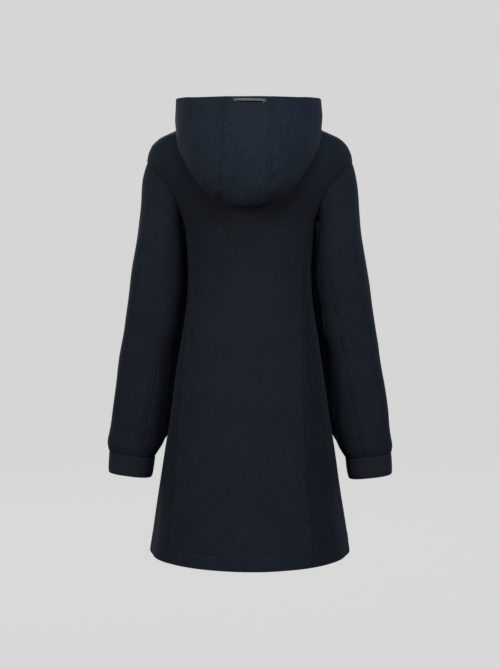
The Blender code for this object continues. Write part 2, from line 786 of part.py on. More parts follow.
def zip_pull(face):
    """The pull tab, hanging straight down from its crossbar in the slider's bridge."""
    pivot = bpy.data.objects.new("pull_pivot", None)
    coat.objects.link(pivot)
    pivot.location = (0.0, face[1] - PULL_STANDOFF, face[2])
    pull = bevelled_box("zip_pull", PULL_SIZE, 0.0004)
    in_coat(pull, "zip_metal")
    pull.parent = pivot
    pull.location = (0, 0, CROSSBAR_HALF - PULL_SIZE[2] / 2)
    bpy.ops.mesh.primitive_cube_add(size=1)
    slot = bpy.context.object
    slot.name = "pull_slot"
    slot.data.transform(Matrix.Diagonal((PULL_SLOT[0], PULL_SIZE[1] * 3, PULL_SLOT[1], 1)))
    slot.parent = pivot
    slot.location = (0, 0, -CROSSBAR_HALF - PULL_SLOT[1] / 2)
    as_cutter(slot)
    cut = pull.modifiers.new("Slot", "BOOLEAN")
    cut.operation = "DIFFERENCE"
    cut.solver = "EXACT"
    cut.object = slot


def new_collection(name):
    made = bpy.data.collections.new(name)
    bpy.context.scene.collection.children.link(made)
    return made


clear_scene()
coat = new_collection("fleece_coat")
cutters = new_collection("cutters")
back_panel()
for word, sign in (("left", 1), ("right", -1)):
    front_panel(f"front_panel_{word}", sign)
    side_panel(f"side_panel_{word}", sign)
    back_seam = f"back_{word}"
    sleeve_piece(f"upper_sleeve_{word}", sign, "front", back_seam, UPPER_SLEEVE_COLUMNS)
    sleeve_piece(f"under_sleeve_{word}", sign, back_seam, "front", UNDER_SLEEVE_COLUMNS)
    cuff(f"cuff_{word}", sign)
    hood_side(f"hood_side_{word}", sign)
    zip_sheet(
        f"zip_tape_{word}", SEAM_GAP, TAPE_WIDTH, 2, -TAPE_DEPTH, TAPE_THICKNESS, "zip_tape", sign
    )
hood_centre()
hanging_loop()
zip_sheet("zip_chain", -CHAIN_HALF_WIDTH, CHAIN_HALF_WIDTH, 2, 0.0, CHAIN_THICKNESS, "zip_teeth")
zip_pull(zip_slider())
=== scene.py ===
# %% [markdown]
# # A hooded fleece coat, dressed
#
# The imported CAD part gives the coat's solids. This lesson hides each plain cloth solid
# and puts a finer sheet of cloth in its place, with rolled seams, stitching, soft
# creases and a fleece finish. Metres, +Z up, the coat's front faces -Y.

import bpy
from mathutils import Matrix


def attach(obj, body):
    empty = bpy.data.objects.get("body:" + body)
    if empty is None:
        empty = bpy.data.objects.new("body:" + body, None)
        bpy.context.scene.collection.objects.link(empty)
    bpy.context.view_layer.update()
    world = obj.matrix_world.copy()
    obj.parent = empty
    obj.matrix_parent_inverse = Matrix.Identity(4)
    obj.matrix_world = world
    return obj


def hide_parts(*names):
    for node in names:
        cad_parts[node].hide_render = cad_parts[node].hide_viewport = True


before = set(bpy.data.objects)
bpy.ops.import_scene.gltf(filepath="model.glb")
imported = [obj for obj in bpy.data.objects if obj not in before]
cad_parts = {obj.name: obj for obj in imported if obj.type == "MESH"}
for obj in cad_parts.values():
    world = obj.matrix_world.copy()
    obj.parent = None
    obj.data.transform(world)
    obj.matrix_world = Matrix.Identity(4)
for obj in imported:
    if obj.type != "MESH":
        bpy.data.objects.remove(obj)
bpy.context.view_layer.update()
print("solids to dress:", len(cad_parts))

# %% Modules
import math

import bmesh
import bpy
import numpy as np
from mathutils import Vector

# %% [markdown]
# ## Studio
#
# The coat was photographed from behind and a little above, before a plain pale ground,
# in soft light. A long lens a few metres away keeps its sides nearly parallel, so the
# camera stands off and looks at the middle of the coat.

# %% Camera
LOOKS_AT = Vector((-0.0008, 0.0, -0.4245))
CAMERA_AZIMUTH = math.radians(182.0)
CAMERA_ELEVATION = math.radians(6.0)
CAMERA_DISTANCE = 2.8
LENS_MM = 77.27
SENSOR_MM = 36.0

towards = Vector(
    (
        math.sin(CAMERA_AZIMUTH) * math.cos(CAMERA_ELEVATION),
        -math.cos(CAMERA_AZIMUTH) * math.cos(CAMERA_ELEVATION),
        math.sin(CAMERA_ELEVATION),
    )
)
camera = bpy.data.objects.new("camera", bpy.data.cameras.new("camera"))
bpy.context.scene.collection.objects.link(camera)
camera.location = LOOKS_AT + towards * CAMERA_DISTANCE
camera.rotation_euler = towards.to_track_quat("Z", "Y").to_euler()
camera.data.lens = LENS_MM
camera.data.sensor_width = SENSOR_MM
bpy.context.scene.camera = camera
bpy.context.scene.view_settings.view_transform = "Standard"
print("camera at", [round(value, 3) for value in camera.location])

# %% [markdown]
# Large lamps close to the coat give light with hardly any shadow edge. Two stand left
# and right on the camera's side, so the gaps between the sleeves and the body stay
# dark, and a cool one above lights the hood. Three more light the front, which the
# camera doesn't see, so that every side can be looked at.

# %% Lamps
BACK_AIM = (0, 0, -0.35)
HOOD_AIM = (0, 0.1, -0.05)
FRONT_AIM = (0, 0, -0.4)
WARM = (1.0, 0.98, 0.95)


def softbox(name, place, aim, size, watts, colour):
    """A square lamp at this place, turned to its aim."""
    lamp = bpy.data.lights.new(name, "AREA")
    lamp.size, lamp.energy, lamp.color = size, watts, colour
    made = bpy.data.objects.new(name, lamp)
    bpy.context.scene.collection.objects.link(made)
    made.location = place
    made.rotation_euler = (Vector(place) - Vector(aim)).to_track_quat("Z", "Y").to_euler()


softbox("lamp_left", (2.3, 2.3, 0.6), BACK_AIM, 1.5, 62, WARM)
softbox("lamp_right", (-2.3, 2.3, 0.6), BACK_AIM, 1.5, 54, WARM)
softbox("lamp_top", (-0.3, 1.6, 1.8), HOOD_AIM, 1.3, 42, (0.60, 0.82, 1.0))
softbox("lamp_front", (0.5, -3.0, 0.9), FRONT_AIM, 1.8, 100, (0.98, 0.99, 1.0))
softbox("lamp_front_left", (2.4, -2.4, 0.4), FRONT_AIM, 1.6, 34, (1.0, 0.98, 0.96))
softbox("lamp_front_right", (-2.4, -2.4, 0.4), FRONT_AIM, 1.6, 22, (0.94, 0.98, 1.0))

# %% [markdown]
# The ground behind the coat is one even pale tone. The camera sees that tone directly,
# but the coat is lit by a much dimmer room, so its dark cloth isn't washed out. The
# floor glows in nearly the same tone by itself, so no lamp makes it patchy.

# %% Pale ground
GROUND = 0.672
FLOOR_HEIGHT = -1.40
FLOOR_SIZE = 30
ROOM_LIGHT = 0.08

world = bpy.data.worlds.new("studio")
bpy.context.scene.world = world
world.use_nodes = True
seen = world.node_tree.nodes["Background"]
seen.inputs["Color"].default_value = (GROUND,) * 3 + (1,)
fills = world.node_tree.nodes.new("ShaderNodeBackground")
fills.inputs["Color"].default_value = (ROOM_LIGHT * 0.94, ROOM_LIGHT, ROOM_LIGHT * 1.06, 1)
straight = world.node_tree.nodes.new("ShaderNodeLightPath")
chosen = world.node_tree.nodes.new("ShaderNodeMixShader")
join = world.node_tree.links.new
join(straight.outputs["Is Camera Ray"], chosen.inputs[0])
join(fills.outputs[0], chosen.inputs[1])
join(seen.outputs[0], chosen.inputs[2])
join(chosen.outputs[0], world.node_tree.nodes["World Output"].inputs["Surface"])

ground = bmesh.new()
bmesh.ops.create_grid(ground, x_segments=1, y_segments=1, size=FLOOR_SIZE)
bmesh.ops.translate(ground, vec=(0, 0, FLOOR_HEIGHT), verts=ground.verts[:])
floor_mesh = bpy.data.meshes.new("floor")
ground.to_mesh(floor_mesh)
ground.free()

floor = bpy.data.objects.new("floor", floor_mesh)
bpy.context.scene.collection.objects.link(floor)
floor.visible_diffuse = False
floor.visible_glossy = False
print("floor at", FLOOR_HEIGHT)

# %% [markdown]
# ## The coat's form
#
# A pattern maker writes a body as a table of heights and half-widths. The body's rows
# are the ones that made the solids, and the sleeves and the hood are fitted a little
# closer to the photographed coat. A smooth curve through the rows never swings past one.

# %% Tables


def cubic(start, leave, end, arrive, t):
    """Points at t on curves with these ends and end directions."""
    return (
        (1 + 2 * t) * (1 - t) ** 2 * start
        + t * (1 - t) ** 2 * leave
        + t * t * (3 - 2 * t) * end
        - t * t * (1 - t) * arrive
    )


class Table:
    """Rows of named columns, read smoothly between the rows without overshoot."""

    def __init__(self, names, *rows):
        self.names = names.split()
        self.rows = np.array(sorted(rows), float)
        self.keys = self.rows[:, 0]
        steps = np.diff(self.keys)[:, None]
        rates = np.diff(self.rows, axis=0) / steps
        before, after = rates[:-1], rates[1:]
        total = np.where(before * after > 0, before + after, 1.0)
        inner = np.where(before * after > 0, 2 * before * after / total, 0.0)
        self.slopes = np.vstack([rates[:1], inner, rates[-1:]])

    def __call__(self, name, at):
        column = self.names.index(name)
        values, slopes = self.rows[:, column], self.slopes[:, column]
        at = np.clip(np.asarray(at, float), self.keys[0], self.keys[-1])
        i = np.clip(np.searchsorted(self.keys, at, side="right") - 1, 0, len(self.keys) - 2)
        step = self.keys[i + 1] - self.keys[i]
        leave, arrive = step * slopes[i], step * slopes[i + 1]
        return cubic(values[i], leave, values[i + 1], arrive, (at - self.keys[i]) / step)


def mix(a, b, t):
    return a + (b - a) * t


def bump(distance, half_width):
    """1 at no distance, fading to hardly anything at two half-widths."""
    return np.exp(-((distance / half_width) ** 2))


def ramp(value, start, end):
    """0 before the start, 1 past the end, and a smooth rise between them."""
    t = np.clip((value - start) / (end - start), 0.0, 1.0)
    return t * t * (3 - 2 * t)


def turned(angle):
    """The same angle, from -180 to 180 degrees."""
    return (angle + 180) % 360 - 180


def squared_off(share, power):
    """A sine or cosine raised to a power, its sign kept, which squares a round off."""
    return np.copysign(np.abs(share) ** power, share)


def unit(vectors):
    length = np.linalg.norm(vectors, axis=-1, keepdims=True)
    return vectors / np.where(length > 0, length, 1.0)


print("halfway up a ramp:", float(ramp(0.5, 0.0, 1.0)))

# %% Sizes of the body
SIDES = (("left", 1), ("right", -1))
WALL = 0.0025
HEM = -0.852
ARMHOLE_TOP = -0.093
ARMHOLE_BOTTOM = -0.200
ARMHOLE_MIDDLE = (ARMHOLE_TOP + ARMHOLE_BOTTOM) / 2
ARMHOLE_BACK_DEG = 33.0
ARMHOLE_FRONT_DEG = 36.0
ARMHOLE_SHARPNESS = 1.25
ZIP_HALF_OPENING = 0.0040
SHOULDER_OUT = 0.0034
SHOULDER_OUT_AT = -0.090
SHOULDER_OUT_HALF_HEIGHT = 0.016
SHOULDER_OUT_NARROWNESS = 12
BODY_HALF_WIDTH = 0.19
BODY_HALF_DEPTH = 0.16

TORSO = Table(
    "height half_width back front front_drop squareness",
    (0.000, 0.0740, 0.046, 0.064, 0.042, 2.00),
    (-0.012, 0.0980, 0.054, 0.068, 0.037, 2.05),
    (-0.029, 0.1395, 0.062, 0.074, 0.029, 2.15),
    (-0.048, 0.1760, 0.070, 0.082, 0.020, 2.20),
    (-0.064, 0.1890, 0.077, 0.088, 0.014, 2.25),
    (-0.080, 0.1934, 0.083, 0.093, 0.008, 2.25),
    (-0.093, 0.1940, 0.088, 0.098, 0.005, 2.25),
    (-0.118, 0.1870, 0.095, 0.105, 0.002, 2.25),
    (-0.147, 0.1700, 0.102, 0.112, 0.000, 2.25),
    (-0.176, 0.1490, 0.106, 0.117, 0.000, 2.25),
    (-0.200, 0.1330, 0.108, 0.120, 0.000, 2.25),
    (-0.222, 0.1250, 0.108, 0.120, 0.000, 2.25),
    (-0.260, 0.1210, 0.106, 0.117, 0.000, 2.25),
    (-0.300, 0.1195, 0.104, 0.112, 0.000, 2.25),
    (-0.353, 0.1215, 0.105, 0.109, 0.000, 2.25),
    (-0.420, 0.1310, 0.111, 0.110, 0.000, 2.25),
    (-0.500, 0.1435, 0.121, 0.117, 0.000, 2.25),
    (-0.580, 0.1560, 0.131, 0.127, 0.000, 2.20),
    (-0.660, 0.1680, 0.142, 0.138, 0.000, 2.15),
    (-0.740, 0.1800, 0.154, 0.149, 0.000, 2.10),
    (HEM, 0.1975, 0.172, 0.163, 0.000, 2.05),
)

BODY_SEAMS = Table(
    "height back_left back_right front",
    (-0.165, 19.0, 27.0, -31.0),
    (-0.250, 19.5, 29.5, -31.0),
    (-0.330, 20.5, 34.0, -32.5),
    (-0.425, 24.5, 41.0, -36.0),
    (-0.520, 30.0, 47.0, -38.8),
    (-0.610, 34.5, 49.5, -40.6),
    (-0.690, 36.5, 50.5, -42.4),
    (-0.770, 38.5, 51.0, -43.2),
    (HEM, 42.0, 51.5, -44.0),
)

# Soft folds that hang from below the waist: their angle at the top and at the hem, the
# height where they start, their half-width in degrees and their depth at the hem
TORSO_FOLDS = (
    {"top": 66, "hem": 72, "start": -0.56, "half_width": 9.0, "depth": 0.0014},
    {"top": 112, "hem": 112, "start": -0.52, "half_width": 8.0, "depth": 0.0015},
    {"top": 12, "hem": 16, "start": -0.48, "half_width": 8.0, "depth": 0.0030},
    {"top": 168, "hem": 163, "start": -0.54, "half_width": 8.0, "depth": 0.0030},
    {"top": 206, "hem": 203, "start": -0.50, "half_width": 8.0, "depth": 0.0036},
    {"top": 240, "hem": 236, "start": -0.58, "half_width": 7.0, "depth": 0.0028},
    {"top": 300, "hem": 305, "start": -0.53, "half_width": 7.0, "depth": 0.0032},
    {"top": 334, "hem": 338, "start": -0.60, "half_width": 7.0, "depth": 0.0028},
)
waist_width, hem_width = 2 * TORSO("half_width", np.array([-0.30, HEM]))
print(f"waist {waist_width:.3f} m wide, hem {hem_width:.3f} m")

# %% The body's surface
SMALL_TURN = 1.5
SMALL_RISE = 0.004


def torso_point(angle, height):
    """Points of the body: angle 0 at the wearer's left and 90 at the back."""
    turn = np.radians(angle)
    power = 2 / TORSO("squareness", height)
    sine, cosine = np.sin(turn), np.cos(turn)
    depth = np.where(sine > 0, TORSO("back", height), TORSO("front", height))
    x = TORSO("half_width", height) * squared_off(cosine, power)
    y = depth * squared_off(sine, power)
    z = height - TORSO("front_drop", height) * np.maximum(0.0, -sine) ** 2
    shoulder = bump(height - SHOULDER_OUT_AT, SHOULDER_OUT_HALF_HEIGHT)
    shoulder = shoulder * np.abs(cosine) ** SHOULDER_OUT_NARROWNESS
    x = x + np.copysign(SHOULDER_OUT * shoulder, cosine)
    drawn_in = 0.0
    for fold in TORSO_FOLDS:
        fall = ramp(height, fold["start"], HEM)
        away = turned(angle - mix(fold["top"], fold["hem"], fall))
        drawn_in = drawn_in + fold["depth"] * fall * bump(away, fold["half_width"])
    outwards = np.stack([x / BODY_HALF_WIDTH**2, y / BODY_HALF_DEPTH**2, 0.0 * x], axis=-1)
    return np.stack([x, y, z], axis=-1) - unit(outwards) * drawn_in[..., None]


def torso_normal(angle, height):
    """The way out of the body, from points a small turn and a small rise apart."""
    right = torso_point(angle + SMALL_TURN, height) - torso_point(angle - SMALL_TURN, height)
    above = torso_point(angle, np.minimum(height + SMALL_RISE, 0.0))
    below = torso_point(angle, np.maximum(height - SMALL_RISE, HEM))
    return unit(np.cross(right, above - below))


def armhole_angle(turn, seam):
    """How far round the armhole's back or front edge lies at this turn from its top."""
    reach = -ARMHOLE_FRONT_DEG if seam == "front" else ARMHOLE_BACK_DEG
    sharpness = np.where(turn < 90, ARMHOLE_SHARPNESS, 1.0)
    return reach * np.abs(np.sin(np.radians(turn))) ** sharpness


def armhole_height(turn):
    return ARMHOLE_MIDDLE + (ARMHOLE_TOP - ARMHOLE_MIDDLE) * np.cos(np.radians(turn))


def armhole_turn(height):
    share = (height - ARMHOLE_MIDDLE) / (ARMHOLE_TOP - ARMHOLE_MIDDLE)
    return np.degrees(np.arccos(np.clip(share, -1.0, 1.0)))


def armhole_point(turn):
    """Angle and height of the armhole seam; turn runs round by the back from its top."""
    turn = np.asarray(turn, float) % 360
    half = np.where(turn <= 180, turn, 360 - turn)
    angle = np.where(turn <= 180, armhole_angle(half, "back"), armhole_angle(half, "front"))
    return angle, armhole_height(half)


def seam_height(seam):
    """Where this long seam runs into the armhole, found by halving the span."""
    low, high = ARMHOLE_BOTTOM, ARMHOLE_MIDDLE
    for _ in range(30):
        middle = (low + high) / 2
        short = abs(armhole_angle(armhole_turn(middle), seam)) < abs(BODY_SEAMS(seam, middle))
        low, high = (middle, high) if short else (low, middle)
    return high


def panel_edge(seam, height):
    """Outer edge of the back or front: long seam, then armhole, then shoulder seam."""
    on_arm = armhole_angle(armhole_turn(height), seam)
    edge = np.where(height >= seam_height(seam), on_arm, BODY_SEAMS(seam, height))
    return np.where(height >= ARMHOLE_TOP, 0.0, edge)


print("back seams end at", round(float(seam_height("back_left")), 4), "m")

# %% [markdown]
# ## One sheet of cloth
#
# Fleece is cut flat, sewn to its neighbours and turned, so along every seam its edge
# rolls away and leaves a groove, and where a row of stitches holds it down there is a
# soft trough. A sheet here is a grid, given its second side by an extrude. Its columns
# crowd together at the seams, where those forms are, and are spaced by real distance
# along the cloth, so a trough is equally wide all the way down.

# %% Spacing and distances
SQUARE = 0.0040
FINE_COLUMNS = 121
NEAR_SEAM = np.array([0, 0.3, 0.7, 1.2, 2.0, 2.8, 3.4, 4.0, 4.6, 5.4, 6.8, 9.0]) / 1000


def spaced(total, count):
    """Distances of count + 1 columns over this width, crowded at both sides."""
    near = NEAR_SEAM * min(1.0, total / (4 * NEAR_SEAM[-1]))
    inner = np.linspace(near[-1], total - near[-1], count - 2 * len(near) + 3)
    return np.concatenate([near[:-1], inner, (total - near[:-1])[::-1]])


def columns_for(width):
    return max(2 * len(NEAR_SEAM) + 2, round(width / SQUARE) + len(NEAR_SEAM))


def running_length(points, axis):
    """The distance along a grid's rows or columns, from where each of them starts."""
    steps = np.linalg.norm(np.diff(points, axis=axis), axis=-1)
    start = np.zeros_like(np.take(steps, [0], axis=axis))
    return np.concatenate([start, np.cumsum(steps, axis=axis)], axis=axis)


def laid_out(place, rows):
    """A grid of points on place(u, v) whose columns are spaced by length; rows are v."""
    fine = np.linspace(0, 1, FINE_COLUMNS)
    across, down = np.meshgrid(fine, rows)
    lengths = running_length(place(across, down), 1)
    count = columns_for(lengths[:, -1].max())
    wanted = [np.interp(spaced(row[-1], count), row, fine) for row in lengths]
    return place(np.array(wanted), np.repeat(np.array(rows)[:, None], count + 1, axis=1))


def normals_of(points):
    """Outward normals of a grid whose columns run against the clock seen from above."""
    return unit(np.cross(np.gradient(points, axis=1), np.gradient(points, axis=0)))


print("columns over a 0.2 m panel:", columns_for(0.2))

# %% [markdown]
# The relief on a sheet is added up from small forms that sewing leaves: the roll of a
# turned edge, the trough under a row of stitches with the cloth standing up beside it,
# ripples where stitches pull, and slow hollows and rises. The slow ones read the place
# in space, so they run on from one panel to the next, and they are held back at the
# armhole and the neck, where sheets meet edge to edge and a gap would let light through.

# %% Relief of seams and stitch rows
SEAM_ROLL = 0.0007
OPEN_ROLL = 0.0011
TROUGH_DEPTH = 0.00092
TROUGH_HALF_WIDTH = 0.0012
SWELL_SHARE = 0.35
SWELL_AT = 0.0026
SWELL_HALF_WIDTH = 0.0014
WAVE_COUNT = 14
CALM_FROM = 0.003
CALM_UP_TO = 0.035
PUCKER_LENGTH = 0.020
PUCKER_HEIGHT = 0.00070
PUCKERS_AT = 0.003
PUCKERS_HALF_WIDTH = 0.007


def rolled(distance, radius):
    """How far an edge of this radius rolls away, at this distance from it."""
    inside = np.clip(1 - distance / radius, 0.0, 1.0)
    return radius * (1 - np.sqrt(np.maximum(1 - inside**2, 0.0)))


def stitched(distance, at, depth=TROUGH_DEPTH):
    """The trough under a row of stitches, and the cloth standing up beside it."""
    trough = depth * bump(distance - at, TROUGH_HALF_WIDTH)
    swell = SWELL_SHARE * depth * bump(np.abs(distance - at) - SWELL_AT, SWELL_HALF_WIDTH)
    return trough - swell


WAVES = np.random.default_rng(7).normal(size=(WAVE_COUNT, 3))
WAVE_STARTS = np.random.default_rng(8).uniform(0, 2 * np.pi, WAVE_COUNT)


def unevenness(points, length, height):
    """Gentle hollows and rises about this long, the same on both sides of a seam."""
    shares = np.linspace(0.6, 1.5, WAVE_COUNT)[:, None]
    waves = unit(WAVES) * (2 * np.pi / length) * shares
    return height * np.sin(points @ waves.T + WAVE_STARTS).sum(axis=-1) / WAVE_COUNT**0.5


def calm(points):
    """0 at the armhole and neck seams, where the sheets must meet, rising to 1 beyond."""
    turns = np.linspace(0, 355, 72)
    seams = np.concatenate([torso_point(*armhole_point(turns)), torso_point(turns, 0 * turns)])
    folded = np.stack([np.abs(points[..., 0]), points[..., 1], points[..., 2]], axis=-1)
    nearest = np.ones(points.shape[:2])
    for seam_point in seams:
        nearest = np.minimum(nearest, np.linalg.norm(folded - seam_point, axis=-1))
    return ramp(nearest, CALM_FROM, CALM_UP_TO)


def puckers(points, *distances):
    """Small ripples that a seam's stitches pull into the cloth beside them."""
    beside = sum(bump(distance - PUCKERS_AT, PUCKERS_HALF_WIDTH) for distance in distances)
    return unevenness(points, PUCKER_LENGTH, PUCKER_HEIGHT) * np.minimum(beside, 1.0)


print(f"a stitched trough is {float(stitched(0.0, 0.0)) * 1000:.2f} mm deep")

# %% From points to a sheet
# The most that one roll, and all the rolls at a place, may take of the wall
MOST_ROLL = 0.45
MOST_ROLLED = 0.46
sheets = {}


def kept_mesh(made, name):
    """The mesh of a finished bmesh."""
    mesh = bpy.data.meshes.new(name)
    made.to_mesh(mesh)
    made.free()
    return mesh


def closed_slab(name, columns, rows, side):
    """A unit grid with a second side at depth -1, turned over for the mirrored side."""
    slab = bmesh.new()
    bmesh.ops.create_grid(slab, x_segments=columns, y_segments=rows, size=0.5)
    added = bmesh.ops.extrude_face_region(slab, geom=slab.faces[:])["geom"]
    second = [item for item in added if isinstance(item, bmesh.types.BMVert)]
    bmesh.ops.translate(slab, vec=(0, 0, -1), verts=second)
    bmesh.ops.recalc_face_normals(slab, faces=slab.faces[:])
    if side < 0:
        bmesh.ops.reverse_faces(slab, faces=slab.faces[:])
    return kept_mesh(slab, name)


def corner_places(mesh):
    """Where a mesh's vertices are, a row for each."""
    flat = np.zeros(len(mesh.vertices) * 3)
    mesh.vertices.foreach_get("co", flat)
    return flat.reshape(-1, 3)


def cloth(name, points, finish, side=1, relief=None, seams="lrt", free="b", wall=WALL):
    """A closed sheet over this grid of points, its edges rolled at seams and free edges."""
    rows, columns = points.shape[0] - 1, points.shape[1] - 1
    left, bottom = running_length(points, 1), running_length(points, 0)
    right, top = left[:, -1:] - left, bottom[-1:] - bottom
    normals = normals_of(points)
    on_side = np.array([side, 1, 1])
    drawn_in = np.zeros(points.shape[:2])
    if relief is not None:
        drawn_in = relief(left, right, bottom, top, points * on_side)
    named = {"l": left, "r": right, "b": bottom, "t": top}
    seam_roll, open_roll = (min(roll, wall * MOST_ROLL) for roll in (SEAM_ROLL, OPEN_ROLL))
    at_seams = sum(rolled(named[letter], seam_roll) for letter in seams)
    both_sides = sum(rolled(named[letter], open_roll) for letter in free)
    both_sides = np.minimum(both_sides, wall * MOST_ROLLED)
    outer_roll = np.minimum(at_seams + both_sides, wall * MOST_ROLLED)
    outer = points - normals * (drawn_in + outer_roll)[..., None]
    inner = points - normals * (drawn_in + wall - both_sides)[..., None]

    mesh = closed_slab(name, columns, rows, side)
    flat = corner_places(mesh)
    i = np.rint((flat[:, 0] + 0.5) * columns).astype(int)
    j = np.rint((flat[:, 1] + 0.5) * rows).astype(int)
    placed = np.where((flat[:, 2] < -0.5)[:, None], inner[j, i], outer[j, i])
    mesh.vertices.foreach_set("co", (placed * on_side).ravel())
    corners = np.zeros(len(mesh.loops), int)
    mesh.loops.foreach_get("vertex_index", corners)
    measured = np.stack([left[j, i], bottom[j, i]], axis=-1)[corners]
    mesh.uv_layers.new(name="cloth").data.foreach_set("uv", measured.ravel())
    mesh.update()
    mesh.shade_smooth()

    made = bpy.data.objects.new(name, mesh)
    bpy.context.scene.collection.objects.link(made)
    mesh.materials.append(finish)
    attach(made, "coat")
    mid = points - normals * (wall / 2)
    across, along = np.diff(mid, axis=1)[:-1], np.diff(mid, axis=0)[:, :-1]
    sheets[name] = {
        "object": made,
        "outer": outer * on_side,
        "normal": normals * on_side,
        "left": left,
        "right": right,
        "bottom": bottom,
        "top": top,
        "width": float(left[:, -1].max()),
        "length": float(bottom[-1].max()),
        "area": float(np.linalg.norm(np.cross(across, along), axis=-1).sum()),
    }
    print(f"{name}: {columns} x {rows} squares, {sheets[name]['area']:.4f} square metres")


# %% [markdown]
# ## Finishes
#
# Short maths on colours and masks reads best as plain sums, so a small class wraps a
# socket and adds the Math node that each sum stands for.

# %% Sums that make nodes


class Wire:
    """A socket that can be added, subtracted or multiplied."""

    def __init__(self, finish, socket):
        self.finish, self.socket = finish, socket

    def sum_of(self, operation, first, second):
        return self.finish.node("ShaderNodeMath", {"operation": operation}, first, second)

    def __add__(self, other):
        return self.sum_of("ADD", self, other)

    def __radd__(self, other):
        return self.sum_of("ADD", other, self)

    def __sub__(self, other):
        return self.sum_of("SUBTRACT", self, other)

    def __rsub__(self, other):
        return self.sum_of("SUBTRACT", other, self)

    def __mul__(self, other):
        return self.sum_of("MULTIPLY", self, other)

    def __rmul__(self, other):
        return self.sum_of("MULTIPLY", other, self)


# The wave texture multiplies its coordinate by this before it takes the sine
WAVE_TEXTURE_FACTOR = 20


class Finish:
    """A material, and the few ways in which this lesson adds nodes to it."""

    def __init__(self, name):
        self.material = bpy.data.materials.new(name)
        self.material.use_nodes = True
        self.tree = self.material.node_tree
        self.shader = self.tree.nodes["Principled BSDF"]

    def node(self, kind, settings, *values, output=0, **named):
        """A node of this kind with its settings, then its sockets; gives an output."""
        made = self.tree.nodes.new(kind)
        for setting, value in settings.items():
            setattr(made, setting, value)
        for place, value in [*enumerate(values), *named.items()]:
            self.feed(made.inputs[place], value)
        return Wire(self, made.outputs[output])

    def feed(self, socket, value):
        if isinstance(value, Wire):
            self.tree.links.new(value.socket, socket)
        elif value is not None:
            socket.default_value = value

    def noise(self, place, size, detail=2.0, rough=0.5):
        """Soft random patches about this many metres across, from 0 to 1."""
        sockets = {"Vector": place, "Scale": 1 / size, "Detail": detail, "Roughness": rough}
        return self.node("ShaderNodeTexNoise", {}, **sockets)

    def between(self, value, low, high):
        """0 below low, 1 above high, and a smooth rise between them."""
        settings = {"interpolation_type": "SMOOTHSTEP"}
        sockets = {"Value": value, "From Min": low, "From Max": high}
        return self.node("ShaderNodeMapRange", settings, **sockets)

    def shade(self, first, second, share):
        """The first colour, turning into the second as share goes from 0 to 1."""
        first, second = ((*c, 1.0) if isinstance(c, tuple) else c for c in (first, second))
        made = self.tree.nodes.new("ShaderNodeMix")
        made.data_type = "RGBA"
        for place, value in ((0, share), (6, first), (7, second)):
            self.feed(made.inputs[place], value)
        return Wire(self, made.outputs[2])

    def place(self):
        """The place on the object, which stays the same however the piece is moved."""
        return self.node("ShaderNodeTexCoord", {}, output="Object")

    def along_cloth(self):
        """Metres across and along the piece's own cut."""
        return self.node("ShaderNodeUVMap", {"uv_map": "cloth"})

    def bands(self, cut, direction, pitch):
        """Even bands this far apart, that follow each other across (X) or along (Y)."""
        settings = {"wave_type": "BANDS", "bands_direction": direction, "wave_profile": "SIN"}
        scale = 2 * math.pi / pitch / WAVE_TEXTURE_FACTOR
        return self.node("ShaderNodeTexWave", settings, Vector=cut, Scale=scale)

    def raised(self, height, metres, strength):
        """A bump this many metres high where the height is 1."""
        sockets = {"Height": height, "Distance": metres, "Strength": strength}
        return self.node("ShaderNodeBump", {}, **sockets)

    def sets(self, **sockets):
        """Values or wires for the shader's own sockets, with _ for a space."""
        for name, value in sockets.items():
            self.feed(self.shader.inputs[name.replace("_", " ")], value)
        return self.material


# %% [markdown]
# ### Fleece
#
# Fleece is a knit whose face is brushed into a short nap. The nap clumps into tufts one
# or two millimetres wide, some leaning to the light and some away, which the eye reads as
# a fine mottle. Its loose fibres also catch light at a low angle, as the sheen does here.
# The side panels have a darker pair of shades of the same nap, painted shade where they turn
# from the light, and the hood a lighter, bluer pair, painted light from the lamp above.

# %% Fleece
TUFT = 0.0016
CLUMP = TUFT * 3.4
WORN_PATCH = 0.045
SHEEN_TINT = (0.55, 0.68, 0.92, 1.0)
NAP_DARK = (0.0060, 0.0076, 0.0106)
NAP_LIGHT = (0.0155, 0.0192, 0.0266)
# The side panels' pair is the nap darkened: painted shade for the light they turn from
SIDE_NAP_DARK_PAINTED_SHADE = (0.0052, 0.0064, 0.0088)
SIDE_NAP_LIGHT_PAINTED_SHADE = (0.0133, 0.0161, 0.0219)
# The hood's light shade is lighter and bluer: painted light from the lamp above
HOOD_NAP_PAINTED_LIGHT = (0.0204, 0.0270, 0.0408)


def fleece_finish(name, dark, light):
    """Brushed nap in two shades: tufts, their clumps, and broad patches of wear."""
    made = Finish(name)
    here = made.place()
    tufts = made.noise(here, TUFT, 3.0, 0.65)
    clumps = made.noise(here, CLUMP)
    patches = made.noise(here, WORN_PATCH)
    nap = tufts * 0.74 + clumps * 0.16 + patches * 0.10
    colour = made.shade(dark, light, made.between(nap, 0.24, 0.76))
    height = tufts * 0.7 + clumps * 0.5
    return made.sets(
        Base_Color=colour,
        Roughness=0.92 - tufts * 0.10,
        Normal=made.raised(height, 0.0007, 0.8),
        Specular_IOR_Level=0.06,
        Sheen_Weight=0.04,
        Sheen_Roughness=0.45,
        Sheen_Tint=SHEEN_TINT,
    )


fleece = fleece_finish("fleece", NAP_DARK, NAP_LIGHT)
# A darker copy of the fleece for the side panels: painted shade
side_fleece_painted_shade = fleece_finish("side_fleece_painted_shade", SIDE_NAP_DARK_PAINTED_SHADE, SIDE_NAP_LIGHT_PAINTED_SHADE)
# A lighter, bluer copy of the fleece for the hood: painted light
hood_fleece_painted_light = fleece_finish("hood_fleece_painted_light", NAP_DARK, HOOD_NAP_PAINTED_LIGHT)
print("naps:", fleece.name, side_fleece_painted_shade.name, hood_fleece_painted_light.name)

